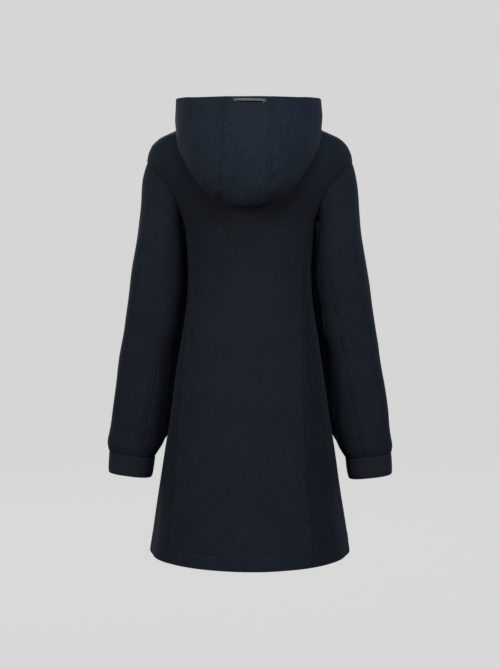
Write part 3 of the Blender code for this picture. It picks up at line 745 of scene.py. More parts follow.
# %% [markdown]
# ### Rib
#
# A rib knit stands in upright ribs, each a chain of small loops, so two sets of bands
# cross on the cuff's own cut and a little fuzz blurs them.

# %% Rib
RIB_DARK = (0.0092, 0.0107, 0.0152)
RIB_LIGHT = (0.0165, 0.0193, 0.0272)
RIB_PITCH = 0.0051322
KNIT_LOOP_PITCH = 0.0027635
FUZZ = 0.0012


def rib_finish(name):
    """Rib knit: upright ribs, rows of loops and fuzz."""
    made = Finish(name)
    cut = made.along_cloth()
    ribs, rows = made.bands(cut, "X", RIB_PITCH), made.bands(cut, "Y", KNIT_LOOP_PITCH)
    fuzz = made.noise(made.place(), FUZZ)
    return made.sets(
        Base_Color=made.shade(RIB_DARK, RIB_LIGHT, ribs * 0.5 + fuzz * 0.5),
        Roughness=0.88,
        Normal=made.raised(ribs * 0.6 + rows * 0.2 + fuzz * 0.4, 0.0004, 0.8),
        Specular_IOR_Level=0.06,
        Sheen_Weight=0.04,
        Sheen_Roughness=0.5,
    )


rib = rib_finish("rib")
print("ribs", round(RIB_PITCH * 1000, 1), "mm apart")

# %% [markdown]
# ### Tape, thread, teeth and metal
#
# A woven tape shows its cross threads as fine steps, sewing thread is a little glossier
# than the nap round it, moulded teeth are smooth with a faint grain, and the slider is
# plated metal with a slightly uneven gloss.

# %% Small finishes
TAPE_WEAR = 0.006


def woven_finish(name, dark, light, pitch, gloss, sheen):
    """Plain weave: threads over and under, a little uneven in shade."""
    made = Finish(name)
    cut = made.along_cloth()
    warp, weft = made.bands(cut, "X", pitch), made.bands(cut, "Y", pitch)
    over = warp * weft + (1 - warp) * (1 - weft)
    worn = made.noise(made.place(), TAPE_WEAR)
    return made.sets(
        Base_Color=made.shade(dark, light, over * 0.55 + worn * 0.45),
        Roughness=0.85,
        Normal=made.raised(over, 0.0003, 0.7),
        Specular_IOR_Level=gloss,
        Sheen_Weight=sheen,
    )


def plain_finish(name, dark, light, size, rough, gloss, metal=0.0):
    """A hard or fine finish, its shade and gloss a little uneven at this size."""
    made = Finish(name)
    grain = made.noise(made.place(), size, 3.0, 0.6)
    return made.sets(
        Base_Color=made.shade(dark, light, grain),
        Roughness=rough + grain * 0.14,
        Normal=made.raised(grain, 0.0001, 0.5),
        Specular_IOR_Level=gloss,
        Metallic=metal,
    )


greys = (0.072, 0.070, 0.074), (0.150, 0.146, 0.153)
loop_tape = woven_finish("loop_tape", *greys, pitch=0.0011, gloss=0.3, sheen=0.1)
blacks = (0.0045, 0.006, 0.009), (0.012, 0.015, 0.021)
zip_tape = woven_finish("zip_tape", *blacks, pitch=0.0008, gloss=0.05, sheen=0.01)
blues = (0.008, 0.011, 0.016), (0.017, 0.022, 0.031)
thread = plain_finish("thread", *blues, size=0.0004, rough=0.7, gloss=0.25)
blacks = (0.005, 0.007, 0.011), (0.011, 0.015, 0.022)
moulded = plain_finish("moulded_teeth", *blacks, size=0.0007, rough=0.48, gloss=0.2)
steels = (0.05, 0.05, 0.055), (0.13, 0.13, 0.14)
plated = plain_finish("plated_metal", *steels, size=0.0012, rough=0.34, gloss=0.5, metal=1.0)
print("finishes:", len(bpy.data.materials))

# %% The floor's finish
PAPER_DARK = (0.013, 0.013, 0.013)
PAPER_LIGHT = (0.016, 0.016, 0.016)
PAPER_PATCH = 0.8
FLOOR_GLOW = 0.992

paper = Finish("paper")
faint = paper.noise(paper.place(), PAPER_PATCH)
floor.data.materials.append(
    paper.sets(
        Base_Color=paper.shade(PAPER_DARK, PAPER_LIGHT, faint),
        Roughness=1.0,
        Specular_IOR_Level=0.0,
        Emission_Color=(GROUND, GROUND, GROUND, 1.0),
        Emission_Strength=FLOOR_GLOW,
    )
)
print("the floor is", floor.data.materials[0].name)

# %% [markdown]
# ## Body panels
#
# The back is one piece from the neck to the hem. Long seams at its sides join it to side
# panels, and two fronts meet at the zip. Each panel is laid on the body's surface
# between its own seams.

# %% Rows down the body
HEM_STITCH = 0.028
BODY_STITCH = 0.0050
HEM_ROWS_MM = (0, 0.3, 0.7, 1.2, 2, 3.5, 6, 9.5, 13, 17, 21, 24, 26, 27.2, 28, 28.8, 30, 32, 35)
HEM_ROWS = np.array(HEM_ROWS_MM) / 1000


def panel_heights(seam):
    """Heights of a panel's rows, crowded at the hem and at the top of the armhole."""
    junction = float(seam_height(seam))
    turns = np.linspace(float(armhole_turn(junction)), 0, 36)[1:]
    skirt = np.linspace(HEM + HEM_ROWS[-1], junction, 166)[1:]
    shoulder = np.linspace(ARMHOLE_TOP, 0.0, 36)[1:]
    return np.concatenate([HEM + HEM_ROWS, skirt, armhole_height(turns), shoulder])


# %% [markdown]
# Worn fleece keeps a few long soft creases where it hung or was pulled. The photograph
# shows one that runs down from the hood, and a faint upright band of light on the back,
# which is made here as a low ridge. Those on the front are guessed.

# %% Creases
BACK, FRONT = 1, -1

# From one (x, height) to another, with a half-width and a depth, which is below 0 for
# a ridge
CREASES = (
    (BACK, (0.062, -0.186), (0.020, -0.268), 0.0048, 0.0019),
    (BACK, (-0.016, -0.216), (-0.014, -0.650), 0.0100, -0.0012),
    (FRONT, (0.112, -0.205), (0.062, -0.252), 0.0065, 0.0014),
    (FRONT, (-0.110, -0.212), (-0.056, -0.246), 0.0070, 0.0013),
    (FRONT, (0.098, -0.315), (0.030, -0.350), 0.0080, 0.0013),
    (FRONT, (-0.100, -0.340), (-0.040, -0.368), 0.0080, 0.0012),
)


def creased(points):
    """How far the creases draw the cloth in, fading towards both of their ends."""
    drawn = 0.0
    for side, start, end, half_width, depth in CREASES:
        run = np.array(end) - np.array(start)
        length = np.hypot(*run)
        from_start = points[..., [0, 2]] - np.array(start)
        along = from_start @ run / length**2
        aside = (from_start[..., 0] * run[1] - from_start[..., 1] * run[0]) / length
        share = ramp(along, -0.1, 0.35) * ramp(1 - along, -0.1, 0.35)
        on_side = points[..., 1] * side > 0
        drawn = drawn + depth * share * on_side * bump(aside, half_width)
    return drawn


print("creases:", len(CREASES))

# %% Relief of the body's panels
HEM_TROUGH = 0.0005
HEM_STANDS = 0.0003
DRAPE_LENGTH = 0.16
HEM_WAVE_LENGTH = 0.11
HEM_WAVE_REACH = 0.05
DRAPE_HEIGHT = 0.0009
STITCHED_BELOW = ARMHOLE_TOP - 0.03
FAR_OFF = 1.0


def body_relief(left_stitch, right_stitch):
    """Seam rows, the hem's fold and stitches, and the drape of worn cloth."""

    def relief(left, right, bottom, top, points):
        below = points[..., 2] < STITCHED_BELOW
        drawn = stitched(bottom, HEM_STITCH, HEM_TROUGH)
        drawn = drawn + np.where(below & left_stitch, stitched(left, BODY_STITCH), 0.0)
        drawn = drawn + np.where(below & right_stitch, stitched(right, BODY_STITCH), 0.0)
        drawn = drawn - HEM_STANDS * ramp(HEM_STITCH - bottom, 0.0, 0.004)
        upright = points * np.array([1, 1, 0.3])
        hem_wave = bump(bottom, HEM_WAVE_REACH) * unevenness(upright, HEM_WAVE_LENGTH, DRAPE_HEIGHT)
        from_seam = np.where(below, np.minimum(left, right), FAR_OFF)
        small = puckers(points, from_seam, bottom - HEM_STITCH)
        drape = unevenness(points, DRAPE_LENGTH, DRAPE_HEIGHT) + creased(points) + small
        return drawn + drape * calm(points) + hem_wave

    return relief


print(f"the hem is stitched {HEM_STITCH * 1000:.0f} mm up")

# %% Back and fronts
def back_place(u, v):
    left_rows, right_rows = panel_heights("back_left"), panel_heights("back_right")
    at = np.linspace(0, 1, len(left_rows))
    left_height, right_height = np.interp(v, at, left_rows), np.interp(v, at, right_rows)
    left = panel_edge("back_left", left_height)
    right = 180 - panel_edge("back_right", right_height)
    return torso_point(mix(left, right, u), mix(left_height, right_height, u))


back_rows = np.linspace(0, 1, len(panel_heights("back_left")))
cloth("back", laid_out(back_place, back_rows), fleece, relief=body_relief(False, False))


def front_angle(across, height):
    """The angle of the point this far to the side of the middle of the front."""
    share = np.abs(across) / TORSO("half_width", height)
    turn = np.degrees(np.arcsin(share ** (TORSO("squareness", height) / 2)))
    return -90 + np.copysign(turn, across)


def front_place(u, v):
    rows = panel_heights("front")
    height = np.interp(v, np.linspace(0, 1, len(rows)), rows)
    opening = front_angle(ZIP_HALF_OPENING, height)
    return torso_point(mix(opening, panel_edge("front", height), u), height)


# A front has a trough beside the zip, where the tape is sewn on behind it
front_rows = np.linspace(0, 1, len(panel_heights("front")))
front_grid = laid_out(front_place, front_rows)
for word, side in SIDES:
    cloth(f"front_{word}", front_grid, fleece, side, body_relief(True, False))

# %% Side panels


def side_place(back_seam):
    turn_front = 360 - float(armhole_turn(seam_height("front")))
    turn_back = float(armhole_turn(seam_height(back_seam)))

    def place(u, v):
        top_angle, top = armhole_point(mix(turn_front, turn_back, u))
        height = mix(HEM, top, v)
        front, back = BODY_SEAMS("front", height), BODY_SEAMS(back_seam, height)
        low, high = BODY_SEAMS("front", top), BODY_SEAMS(back_seam, top)
        at_top = np.clip((top_angle - low) / (high - low), 0.0, 1.0)
        return torso_point(mix(front, back, mix(u, at_top, ramp(v, 0.3, 0.9))), height)

    return place


at_hem = HEM_ROWS / (ARMHOLE_BOTTOM - HEM)
side_rows = np.concatenate([at_hem, np.linspace(at_hem[-1], 1, 156)[1:]])
for word, side in SIDES:
    grid = laid_out(side_place(f"back_{word}"), side_rows)
    # The side panels take the darker fleece, which is painted shade
    cloth(f"side_{word}", grid, side_fleece_painted_shade, side, body_relief(True, True))

# %% [markdown]
# ## Sleeves
#
# A two-piece sleeve has a wide upper piece and a narrow under piece, with seams behind
# and in front of the arm. It leaves the armhole, turns down and leans on the body. The
# arm that would fill it is bent a little, so soft breaks lie across its inner side.

# %% Sizes of the sleeve
SLEEVE_RING = -0.250
SLEEVE_HEM = -0.661
SLEEVE_TILT = 0.12
TURN_GAP = 0.0002
SLEEVE_LEAVES = (0.10, 0.42)
SLEEVE_TURNS_IN = 0.6
LEAN_DEG = 240.0
LEAN_HALF_WIDTH_DEG = 32.5
LEANS_BETWEEN = (0.08, 0.84)
SLEEVE_BACK_SQUARENESS = 2.7
SMALL_DROP = 0.01

SLEEVE = Table(
    "height centre_x centre_y half_width half_depth leaning",
    (SLEEVE_RING, 0.1750, 0.000, 0.0440, 0.0620, 0.0330),
    (-0.300, 0.1806, -0.001, 0.0466, 0.0600, 0.0385),
    (-0.357, 0.1876, -0.003, 0.0486, 0.0560, 0.0425),
    (-0.420, 0.1963, -0.006, 0.0493, 0.0520, 0.0430),
    (-0.460, 0.2046, -0.008, 0.0478, 0.0495, 0.0455),
    (-0.500, 0.2100, -0.010, 0.0486, 0.0475, 0.0440),
    (-0.545, 0.2152, -0.012, 0.0504, 0.0455, 0.0405),
    (-0.580, 0.2190, -0.014, 0.0518, 0.0445, 0.0408),
    (-0.625, 0.2246, -0.016, 0.0526, 0.0430, 0.0285),
    (-0.646, 0.2300, -0.017, 0.0509, 0.0420, 0.0125),
    (SLEEVE_HEM, 0.2332, -0.018, 0.0464, 0.0390, 0.0000),
)

SLEEVE_SEAMS = Table(
    "station back_left back_right front",
    (0.00, 158.0, 150.0, 212.0),
    (1.00, 152.0, 139.0, 198.0),
    (1.12, 145.0, 126.0, 196.0),
    (1.25, 131.0, 113.0, 195.0),
    (1.40, 124.0, 107.5, 195.0),
    (1.55, 120.0, 106.0, 195.0),
    (1.68, 112.0, 102.0, 195.0),
    (1.82, 105.0, 97.0, 195.0),
    (2.00, 104.0, 93.0, 195.0),
)

# Soft breaks: a station is 0 at the armhole, 1 at the first full ring and 2 at the hem,
# and an angle is 0 on the outer edge and 90 at the back
SLEEVE_FOLDS = (
    {"station": 0.55, "angle": 330, "along": 0.14, "around": 36, "depth": 0.0022},
    {"station": 0.84, "angle": 300, "along": 0.12, "around": 40, "depth": 0.0026},
    {"station": 1.30, "angle": 222, "along": 0.05, "around": 48, "depth": 0.0036},
    {"station": 1.42, "angle": 300, "along": 0.05, "around": 52, "depth": 0.0034},
    {"station": 1.53, "angle": 245, "along": 0.04, "around": 50, "depth": 0.0030},
    {"station": 1.88, "angle": 290, "along": 0.05, "around": 60, "depth": 0.0026},
    {"station": 1.92, "angle": 120, "along": 0.03, "around": 34, "depth": 0.0012},
)
print("sleeve", round(ARMHOLE_TOP - SLEEVE_HEM, 3), "m down from the shoulder")

# %% The sleeve's surface


def ring_point(table, angle, height):
    """Points of the rings that a table of the sleeve or the cuff describes."""
    sine, cosine = np.sin(np.radians(angle)), np.cos(np.radians(angle))
    power = 2 / np.where(sine > 0, SLEEVE_BACK_SQUARENESS, 2.0)
    out = table("half_width", height) * squared_off(cosine, power)
    back = table("half_depth", height) * squared_off(sine, power)
    x, y = table("centre_x", height) + out, table("centre_y", height) + back
    return np.stack([x, y, height + SLEEVE_TILT * out], axis=-1)


def sleeve_head(angle, station):
    """The sleeve between its armhole seam (0) and its first full ring (1)."""
    seam_angle, seam_at = armhole_point(angle)
    top_share = 0.5 + 0.5 * np.cos(np.radians(angle))
    heading = unit(np.stack([mix(*SLEEVE_LEAVES, top_share), 0 * angle, 0 * angle - 1], axis=-1))
    start = torso_point(seam_angle, seam_at)
    start = start + TURN_GAP * (heading + torso_normal(seam_angle, seam_at))
    end = ring_point(SLEEVE, angle, np.full_like(angle, SLEEVE_RING))
    below = ring_point(SLEEVE, angle, np.full_like(angle, SLEEVE_RING - SMALL_DROP))
    length = np.linalg.norm(end - start, axis=-1, keepdims=True)
    leave = heading * length * SLEEVE_TURNS_IN
    return cubic(start, leave, end, unit(below - end) * length, station[..., None])


def sleeve_point(angle, station):
    """Points of the left sleeve: angle 0 on its outer edge, 90 at the back."""
    height = np.where(station >= 1, mix(SLEEVE_RING, SLEEVE_HEM, station - 1), SLEEVE_RING)
    point = ring_point(SLEEVE, angle, height)
    head = sleeve_head(angle, np.clip(station, 0.0, 1.0))
    point = np.where((station < 1)[..., None], head, point)
    leaning = SLEEVE("leaning", height) * ramp(station, *LEANS_BETWEEN)
    point[..., 0] -= leaning * bump(angle % 360 - LEAN_DEG, LEAN_HALF_WIDTH_DEG)
    middle = np.stack([SLEEVE("centre_x", height), SLEEVE("centre_y", height), 0 * height], axis=-1)
    inwards = (middle - point) * np.array([1, 1, 0])
    drawn_in = 0.0
    for fold in SLEEVE_FOLDS:
        across = fold["depth"] * bump(station - fold["station"], fold["along"])
        drawn_in = drawn_in + across * bump(turned(angle - fold["angle"]), fold["around"])
    return point + unit(inwards) * drawn_in[..., None]


elbow = sleeve_point(np.array([0.0, 180.0]), np.array([1.5, 1.5]))
print(f"the sleeve is {np.ptp(elbow[:, 0]):.3f} m wide at the elbow")

# %% Sleeve pieces
SLEEVE_STITCH = 0.0040
SLEEVE_WAVE = 0.10
SLEEVE_WAVE_HEIGHT = 0.0008
at_cuff, down_arm, at_head = (2.0, 1.985, 6), (1.98, 1.0, 104), (0.99, 0.0, 44)
sleeve_rows = np.concatenate([np.linspace(*span) for span in (at_cuff, down_arm, at_head)])


def sleeve_place(from_seam, to_seam):
    def place(u, v):
        start, end = SLEEVE_SEAMS(from_seam, v), SLEEVE_SEAMS(to_seam, v)
        start = np.where(start > end, start - 360, start)
        return sleeve_point(mix(start, end, u), v)

    return place


def sleeve_relief(left, right, bottom, top, points):
    """A row of stitches along each seam, puckers and the unevenness of worn cloth."""
    drawn = stitched(left, SLEEVE_STITCH) + stitched(right, SLEEVE_STITCH)
    uneven = unevenness(points, SLEEVE_WAVE, SLEEVE_WAVE_HEIGHT) + puckers(points, left, right)
    return drawn + uneven * calm(points) * ramp(bottom, 0.0, 0.02)


for word, side in SIDES:
    upper = laid_out(sleeve_place("front", f"back_{word}"), sleeve_rows)
    cloth(f"sleeve_upper_{word}", upper, fleece, side, sleeve_relief, "lrbt", "")
    under = laid_out(sleeve_place(f"back_{word}", "front"), sleeve_rows)
    cloth(f"sleeve_under_{word}", under, fleece, side, sleeve_relief, "lrbt", "")

# %% [markdown]
# ### Cuffs
#
# A rib cuff is a short tube of stretchy knit sewn to the sleeve's end, where it draws the
# fleece together. It is a ring of the same kind of sheet, closed on itself.

# %% Rib cuffs
CUFF_TOP = SLEEVE_HEM - TURN_GAP
CUFF_BOTTOM = -0.7050
CUFF_ROWS_SPAN = 0.0434
CUFF_COLUMNS = 145
CUFF_STITCH = 0.0030
CUFF_TROUGH = 0.0005
CUFF_WAVE = 0.05
CUFF_WAVE_HEIGHT = 0.0004
CUFF = Table(
    "height centre_x centre_y half_width half_depth",
    (CUFF_TOP, 0.2332, -0.0180, 0.0452, 0.0380),
    (-0.674, 0.2344, -0.0190, 0.0448, 0.0376),
    (-0.694, 0.2364, -0.0198, 0.0440, 0.0370),
    (CUFF_BOTTOM, 0.2376, -0.0205, 0.0424, 0.0360),
)


def cuff_place(u, v):
    return ring_point(CUFF, mix(-90.0, 270.0, u), mix(CUFF_BOTTOM, CUFF_TOP, v))


def cuff_relief(left, right, bottom, top, points):
    uneven = unevenness(points, CUFF_WAVE, CUFF_WAVE_HEIGHT) * ramp(top, 0.0, 0.01)
    return stitched(top, CUFF_STITCH, CUFF_TROUGH) + uneven


at_edge = NEAR_SEAM / CUFF_ROWS_SPAN
cuff_rows = np.concatenate([at_edge, np.linspace(0.25, 0.75, 7), 1 - at_edge[::-1]])
cuff_grid = cuff_place(*np.meshgrid(np.linspace(0, 1, CUFF_COLUMNS), cuff_rows))
for word, side in SIDES:
    cloth(f"rib_cuff_{word}", cuff_grid, rib, side, cuff_relief, seams="t")

# %% [markdown]
# ## Hood
#
# The hood lies down as a bag: its cloth rises from the neck seam, turns over, falls to a
# low fold behind the back and comes up again to the rim. Three panels make it, and the
# seams between them run over it from the neck to the rim.

# %% Sizes of the hood
HOOD_TURN_RISE = 0.010
HOOD_RIGHT_OUT = 0.0022
HOOD_RIGHT_HALF_DEG = 40.0
NECK_TUCK = 0.0030
HOOD = Table(
    "angle slump inner low_reach outer low rim_reach rim",
    (-90, 0.00, 0.070, 0.072, 0.074, -0.010, 0.0720, 0.012),
    (-80, 0.00, 0.070, 0.072, 0.074, -0.010, 0.0720, 0.012),
    (-66, 0.02, 0.074, 0.078, 0.082, -0.010, 0.0800, 0.012),
    (-45, 0.20, 0.084, 0.092, 0.100, -0.008, 0.0960, 0.008),
    (-20, 0.65, 0.094, 0.107, 0.116, -0.008, 0.1120, 0.006),
    (0, 0.95, 0.102, 0.118, 0.130, -0.011, 0.1270, 0.008),
    (10, 1.00, 0.110, 0.130, 0.140, -0.019, 0.1360, 0.014),
    (22, 1.00, 0.118, 0.142, 0.150, -0.040, 0.1470, 0.022),
    (32, 1.00, 0.122, 0.145, 0.159, -0.077, 0.1565, 0.026),
    (46, 1.00, 0.114, 0.145, 0.168, -0.113, 0.1645, 0.026),
    (57, 1.00, 0.109, 0.145, 0.174, -0.140, 0.1680, 0.025),
    (66, 1.00, 0.105, 0.145, 0.178, -0.158, 0.1700, 0.025),
    (78, 1.00, 0.101, 0.146, 0.181, -0.170, 0.1710, 0.025),
    (90, 1.00, 0.099, 0.147, 0.182, -0.175, 0.1710, 0.025),
)

HOOD_PANEL = Table(
    "station left right",
    (0.00, 0.030, 0.030),
    (0.30, 0.040, 0.038),
    (0.55, 0.052, 0.042),
    (0.75, 0.048, 0.043),
    (1.00, 0.037, 0.047),
)
print("hood", 2 * float(HOOD("rim_reach", 0)), "m wide at the rim")

# %% The hood's surface


def neck_seam(angle):
    """Reach and height of the hood's edge at the neck, tucked under at the front."""
    turn = np.radians(angle)
    sine, cosine = np.sin(turn), np.cos(turn)
    wide = float(TORSO("half_width", 0.0))
    deep = np.where(sine > 0, TORSO("back", 0.0), TORSO("front", 0.0))
    reach = 1 / np.hypot(cosine / wide, sine / deep)
    own = np.sin(np.arctan2(wide * sine, deep * cosine))
    tucked = NECK_TUCK * ramp(-own, -0.4, 0.2)
    return reach, TURN_GAP - tucked - TORSO("front_drop", 0.0) * np.maximum(0.0, -own) ** 2


def hood_section(angle):
    """The hood cut upright at each angle: reach and height of eight points."""
    neck, base = neck_seam(angle)
    names = ("inner", "low_reach", "outer", "low", "rim_reach", "rim")
    inner, low_reach, outer, low, rim_reach, rim = (HOOD(name, angle) for name in names)
    bag = (
        (neck, base),
        (mix(neck, inner, 0.40), base + HOOD_TURN_RISE),
        (inner, mix(base, low, 0.40)),
        (mix(inner, low_reach, 0.30), mix(base, low, 0.74)),
        (low_reach, low),
        (mix(low_reach, outer, 0.75), mix(low, rim, 0.13)),
        (outer, mix(low, rim, 0.50)),
        (rim_reach, rim),
    )
    bag = np.stack([np.stack(point, axis=-1) for point in bag], axis=-2)
    start, end = np.stack([neck, base], axis=-1), np.stack([rim_reach, rim], axis=-1)
    shares = np.linspace(0, 1, bag.shape[-2])[:, None]
    stand = mix(start[..., None, :], end[..., None, :], shares)
    return mix(stand, bag, HOOD("slump", angle)[..., None, None])


def hood_point(angle, station):
    """Points of the hood: station 0 at the neck seam, 1 at the rim."""
    angle, station = np.broadcast_arrays(np.asarray(angle, float), np.asarray(station, float))
    folded = np.where(angle > 90, 180 - angle, angle)
    section = hood_section(np.maximum(folded, -180 - folded))
    last = section.shape[-2] - 1
    at = np.clip(station, 0.0, 1.0) * last
    i = np.minimum(at.astype(int), last - 1)

    def knot(index):
        index = np.broadcast_to(np.clip(index, 0, last)[..., None, None], (*i.shape, 1, 2))
        return np.take_along_axis(section, index, axis=-2)[..., 0, :]

    start, end = knot(i), knot(i + 1)
    leave, arrive = (end - knot(i - 1)) / 2, (knot(i + 2) - start) / 2
    found = cubic(start, leave, end, arrive, (at - i)[..., None])
    turn = np.radians(angle)
    on_right = bump(turned(angle - 180), HOOD_RIGHT_HALF_DEG) * ramp(station, 0.5, 0.9)
    reach = found[..., 0] + HOOD_RIGHT_OUT * on_right
    return np.stack([reach * np.cos(turn), reach * np.sin(turn), found[..., 1]], axis=-1)


def hood_seam(side, station):
    """The angle of the seam between the hood's middle panel and this side's panel."""
    half_width = HOOD_PANEL("left" if side > 0 else "right", station)
    angle = np.full_like(station, 70.0)
    for _ in range(25):
        reach = np.linalg.norm(hood_point(angle, station)[..., :2], axis=-1)
        angle = np.degrees(np.arccos(np.minimum(half_width / reach, 1.0)))
    return angle


# %% Hood panels
HOOD_STITCH = 0.0040
RIM_STITCH = 0.0150
RIM_TROUGH = 0.0003
HOOD_WAVE = 0.085
HOOD_WAVE_HEIGHT = 0.0009

# Rows near the rim, counted back from it in shares of the whole way up from the neck
RIM_ROWS = (19, 17, 16, 15, 14, 13, 11, 8, 5, 3, 2, 1.2, 0.7, 0.3, 0)
RIM_ROW_SHARES = 360
at_rim = 1 - np.array(RIM_ROWS) / RIM_ROW_SHARES
at_neck, over_back = np.linspace(0, 0.012, 6), np.linspace(0.016, 0.940, 128)
hood_rows = np.concatenate([at_neck, over_back, at_rim])


def centre_place(u, v):
    left, right = hood_seam(1, v), 180 - hood_seam(-1, v)
    return hood_point(mix(left, right, u), v)


def hood_side_place(side):
    def place(u, v):
        reach = np.linalg.norm(hood_point(-90.0, v)[..., :2], axis=-1)
        opening = -90 + np.degrees(ZIP_HALF_OPENING / reach)
        return hood_point(mix(opening, hood_seam(side, v), u), v)

    return place


def hood_relief(left_stitch):
    """Stitches at the right seam and the rim, and at the left seam too where it's asked."""

    def relief(left, right, bottom, top, points):
        drawn = stitched(right, HOOD_STITCH) + stitched(top, RIM_STITCH, RIM_TROUGH)
        if left_stitch:
            drawn = drawn + stitched(left, HOOD_STITCH)
        small = puckers(points, right, left if left_stitch else right)
        uneven = unevenness(points, HOOD_WAVE, HOOD_WAVE_HEIGHT) + small
        return drawn + uneven * ramp(bottom, 0.0, 0.03)

    return relief


# The hood's panels take the lighter, bluer fleece, which is painted light
middle_grid = laid_out(centre_place, hood_rows)
cloth("hood_middle", middle_grid, hood_fleece_painted_light, 1, hood_relief(True), "lrb", "t")
for word, side in SIDES:
    grid = laid_out(hood_side_place(side), hood_rows)
    cloth(f"hood_{word}", grid, hood_fleece_painted_light, side, hood_relief(False), "lrb", "t")

# %% [markdown]
# ## Stitching
#
# A machine stitch shows as a short bar of thread that dips into the cloth at both ends.
# One small bar is made and set down again and again along a line, which is read off the
# finished sheet at a fixed distance from its edge.

# %% One bar, many places
STITCH_SIZE = (0.0031, 0.00060, 0.00050)
STITCH_PITCH = 0.0038


def one_bar(size):
    """A bar of thread: a small sphere, drawn out along X and pointed at its ends."""
    made = bmesh.new()
    bmesh.ops.create_uvsphere(made, u_segments=6, v_segments=4, radius=0.5)
    along_x = Vector((1, 0, 0)).to_track_quat("Z", "Y").to_matrix()
    bmesh.ops.rotate(made, matrix=along_x, verts=made.verts[:])
    bmesh.ops.scale(made, vec=size, verts=made.verts[:])
    return kept_mesh(made, "one_bar")


def set_down(name, pattern, places, finish):
    """The pattern mesh repeated at each place, a row of (centre, along, up)."""
    many = bmesh.new()
    for _ in places:
        many.from_mesh(pattern)
    mesh = kept_mesh(many, name)
    one = corner_places(pattern)
    centre, along, up = (np.array([place[k] for place in places]) for k in range(3))
    along = unit(along)
    aside = unit(np.cross(up, along))
    up = np.cross(along, aside)
    moved = (
        centre[:, None]
        + one[None, :, :1] * along[:, None]
        + one[None, :, 1:2] * aside[:, None]
        + one[None, :, 2:] * up[:, None]
    )
    mesh.vertices.foreach_set("co", moved.ravel())
    mesh.update()
    mesh.shade_smooth()
    mesh.materials.append(finish)
    made = bpy.data.objects.new(name, mesh)
    bpy.context.scene.collection.objects.link(made)
    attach(made, "coat")
    print(f"{name}: {len(places)} repeats")
    return made


def read_at(at, length, values):
    """Points or normals of a line, read at these distances along it."""
    return np.stack([np.interp(at, length, values[:, k]) for k in range(3)], axis=-1)


def line_on(sheet, edge, distance):
    """Points and normals of the line this far from an edge of a finished sheet."""
    far, outer, normal = (sheets[sheet][key] for key in (edge, "outer", "normal"))
    if edge in ("bottom", "top"):
        far, outer, normal = far.T, outer.swapaxes(0, 1), normal.swapaxes(0, 1)
    if edge in ("right", "top"):
        far, outer, normal = far[:, ::-1], outer[:, ::-1], normal[:, ::-1]
    points = np.array([read_at(distance, far[r], outer[r]) for r in range(len(far))])
    normals = np.array([read_at(distance, far[r], normal[r]) for r in range(len(far))])
    return points, unit(normals)


def along_line(points, normals, pitch, start=0.004, end=0.004, lift=0.0001):
    """Places at this pitch along a line."""
    length = running_length(points, 0)
    at = np.arange(start, length[-1] - end, pitch)
    centre, up = read_at(at, length, points), unit(read_at(at, length, normals))
    run = read_at(at + pitch / 4, length, points) - centre
    keep = np.linalg.norm(run, axis=-1) > pitch / 20
    return list(zip((centre + up * lift)[keep], run[keep], up[keep], strict=True))


bar = one_bar(STITCH_SIZE)
print(f"a stitch every {STITCH_PITCH * 1000:.1f} mm")

# %% Rows of stitches
WORDS = ("left", "right")
HEMMED = ("back", "side_left", "side_right", "front_left", "front_right")
RIMMED = ("hood_left", "hood_middle", "hood_right")
seam_rows = {
    "stitching_body": [
        (f"side_{word}", edge, BODY_STITCH) for word in WORDS for edge in ("right", "left")
    ],
    "stitching_hem": [(name, "bottom", HEM_STITCH) for name in HEMMED],
    "stitching_sleeves": [
        (f"sleeve_{piece}_{word}", edge, SLEEVE_STITCH)
        for word in WORDS
        for piece in ("upper", "under")
        for edge in WORDS
    ],
    "stitching_cuffs": [(f"rib_cuff_{word}", "top", CUFF_STITCH) for word in WORDS],
    "stitching_hood": [("hood_middle", edge, HOOD_STITCH) for edge in WORDS]
    + [(f"hood_{word}", "right", HOOD_STITCH) for word in WORDS]
    + [(name, "top", RIM_STITCH) for name in RIMMED],
}
for name, lines in seam_rows.items():
    places = []
    for sheet, edge, distance in lines:
        places += along_line(*line_on(sheet, edge, distance), STITCH_PITCH)
    set_down(name, bar, places, thread)

# %% [markdown]
# ## Hanging loop
#
# A short woven tape under the rim. It stands off the hood a little between its ends,
# which are held by a few crossed tacks of thick thread, so it throws a thin shadow.

# %% Loop
LOOP_LENGTH = 0.0535
LOOP_WIDTH = 0.0042
LOOP_OFF_CENTRE = 0.0076
LOOP_BELOW_RIM = 0.0042
LOOP_DROP = 0.0012
LOOP_WALL = 0.0011
LOOP_STANDS_OFF = 0.0022
LOOP_CLEARANCE = 0.0003
LOOP_COLUMNS = 61


def below_rim(below, across):
    """Points and normals on the hood's back, this far below its rim and to the right."""
    points, normals = line_on("hood_middle", "top", below)
    length = running_length(points, 0)
    at = across + np.interp(LOOP_OFF_CENTRE, -points[:, 0], length)
    return read_at(at, length, points), read_at(at, length, normals)


share = np.linspace(0, 1, LOOP_COLUMNS)[:, None]
across_loop = np.linspace(-LOOP_LENGTH / 2, LOOP_LENGTH / 2, LOOP_COLUMNS)
lift = LOOP_WALL + LOOP_CLEARANCE + LOOP_STANDS_OFF * np.sin(np.pi * share) ** 0.5
loop_rows = []
for below in LOOP_BELOW_RIM + LOOP_WIDTH * np.linspace(1, 0, 9):
    high, out = below_rim(below, across_loop)
    low, _ = below_rim(below + LOOP_DROP, across_loop)
    loop_rows.append(mix(high, low, share) + out * lift)
cloth("loop", np.array(loop_rows), loop_tape, seams="", free="lrbt", wall=LOOP_WALL)

# %% The loop's tacks
TACK_SIZE = (0.0072, 0.0014, 0.0011)
TACK_LIFT = LOOP_WALL + 0.0006

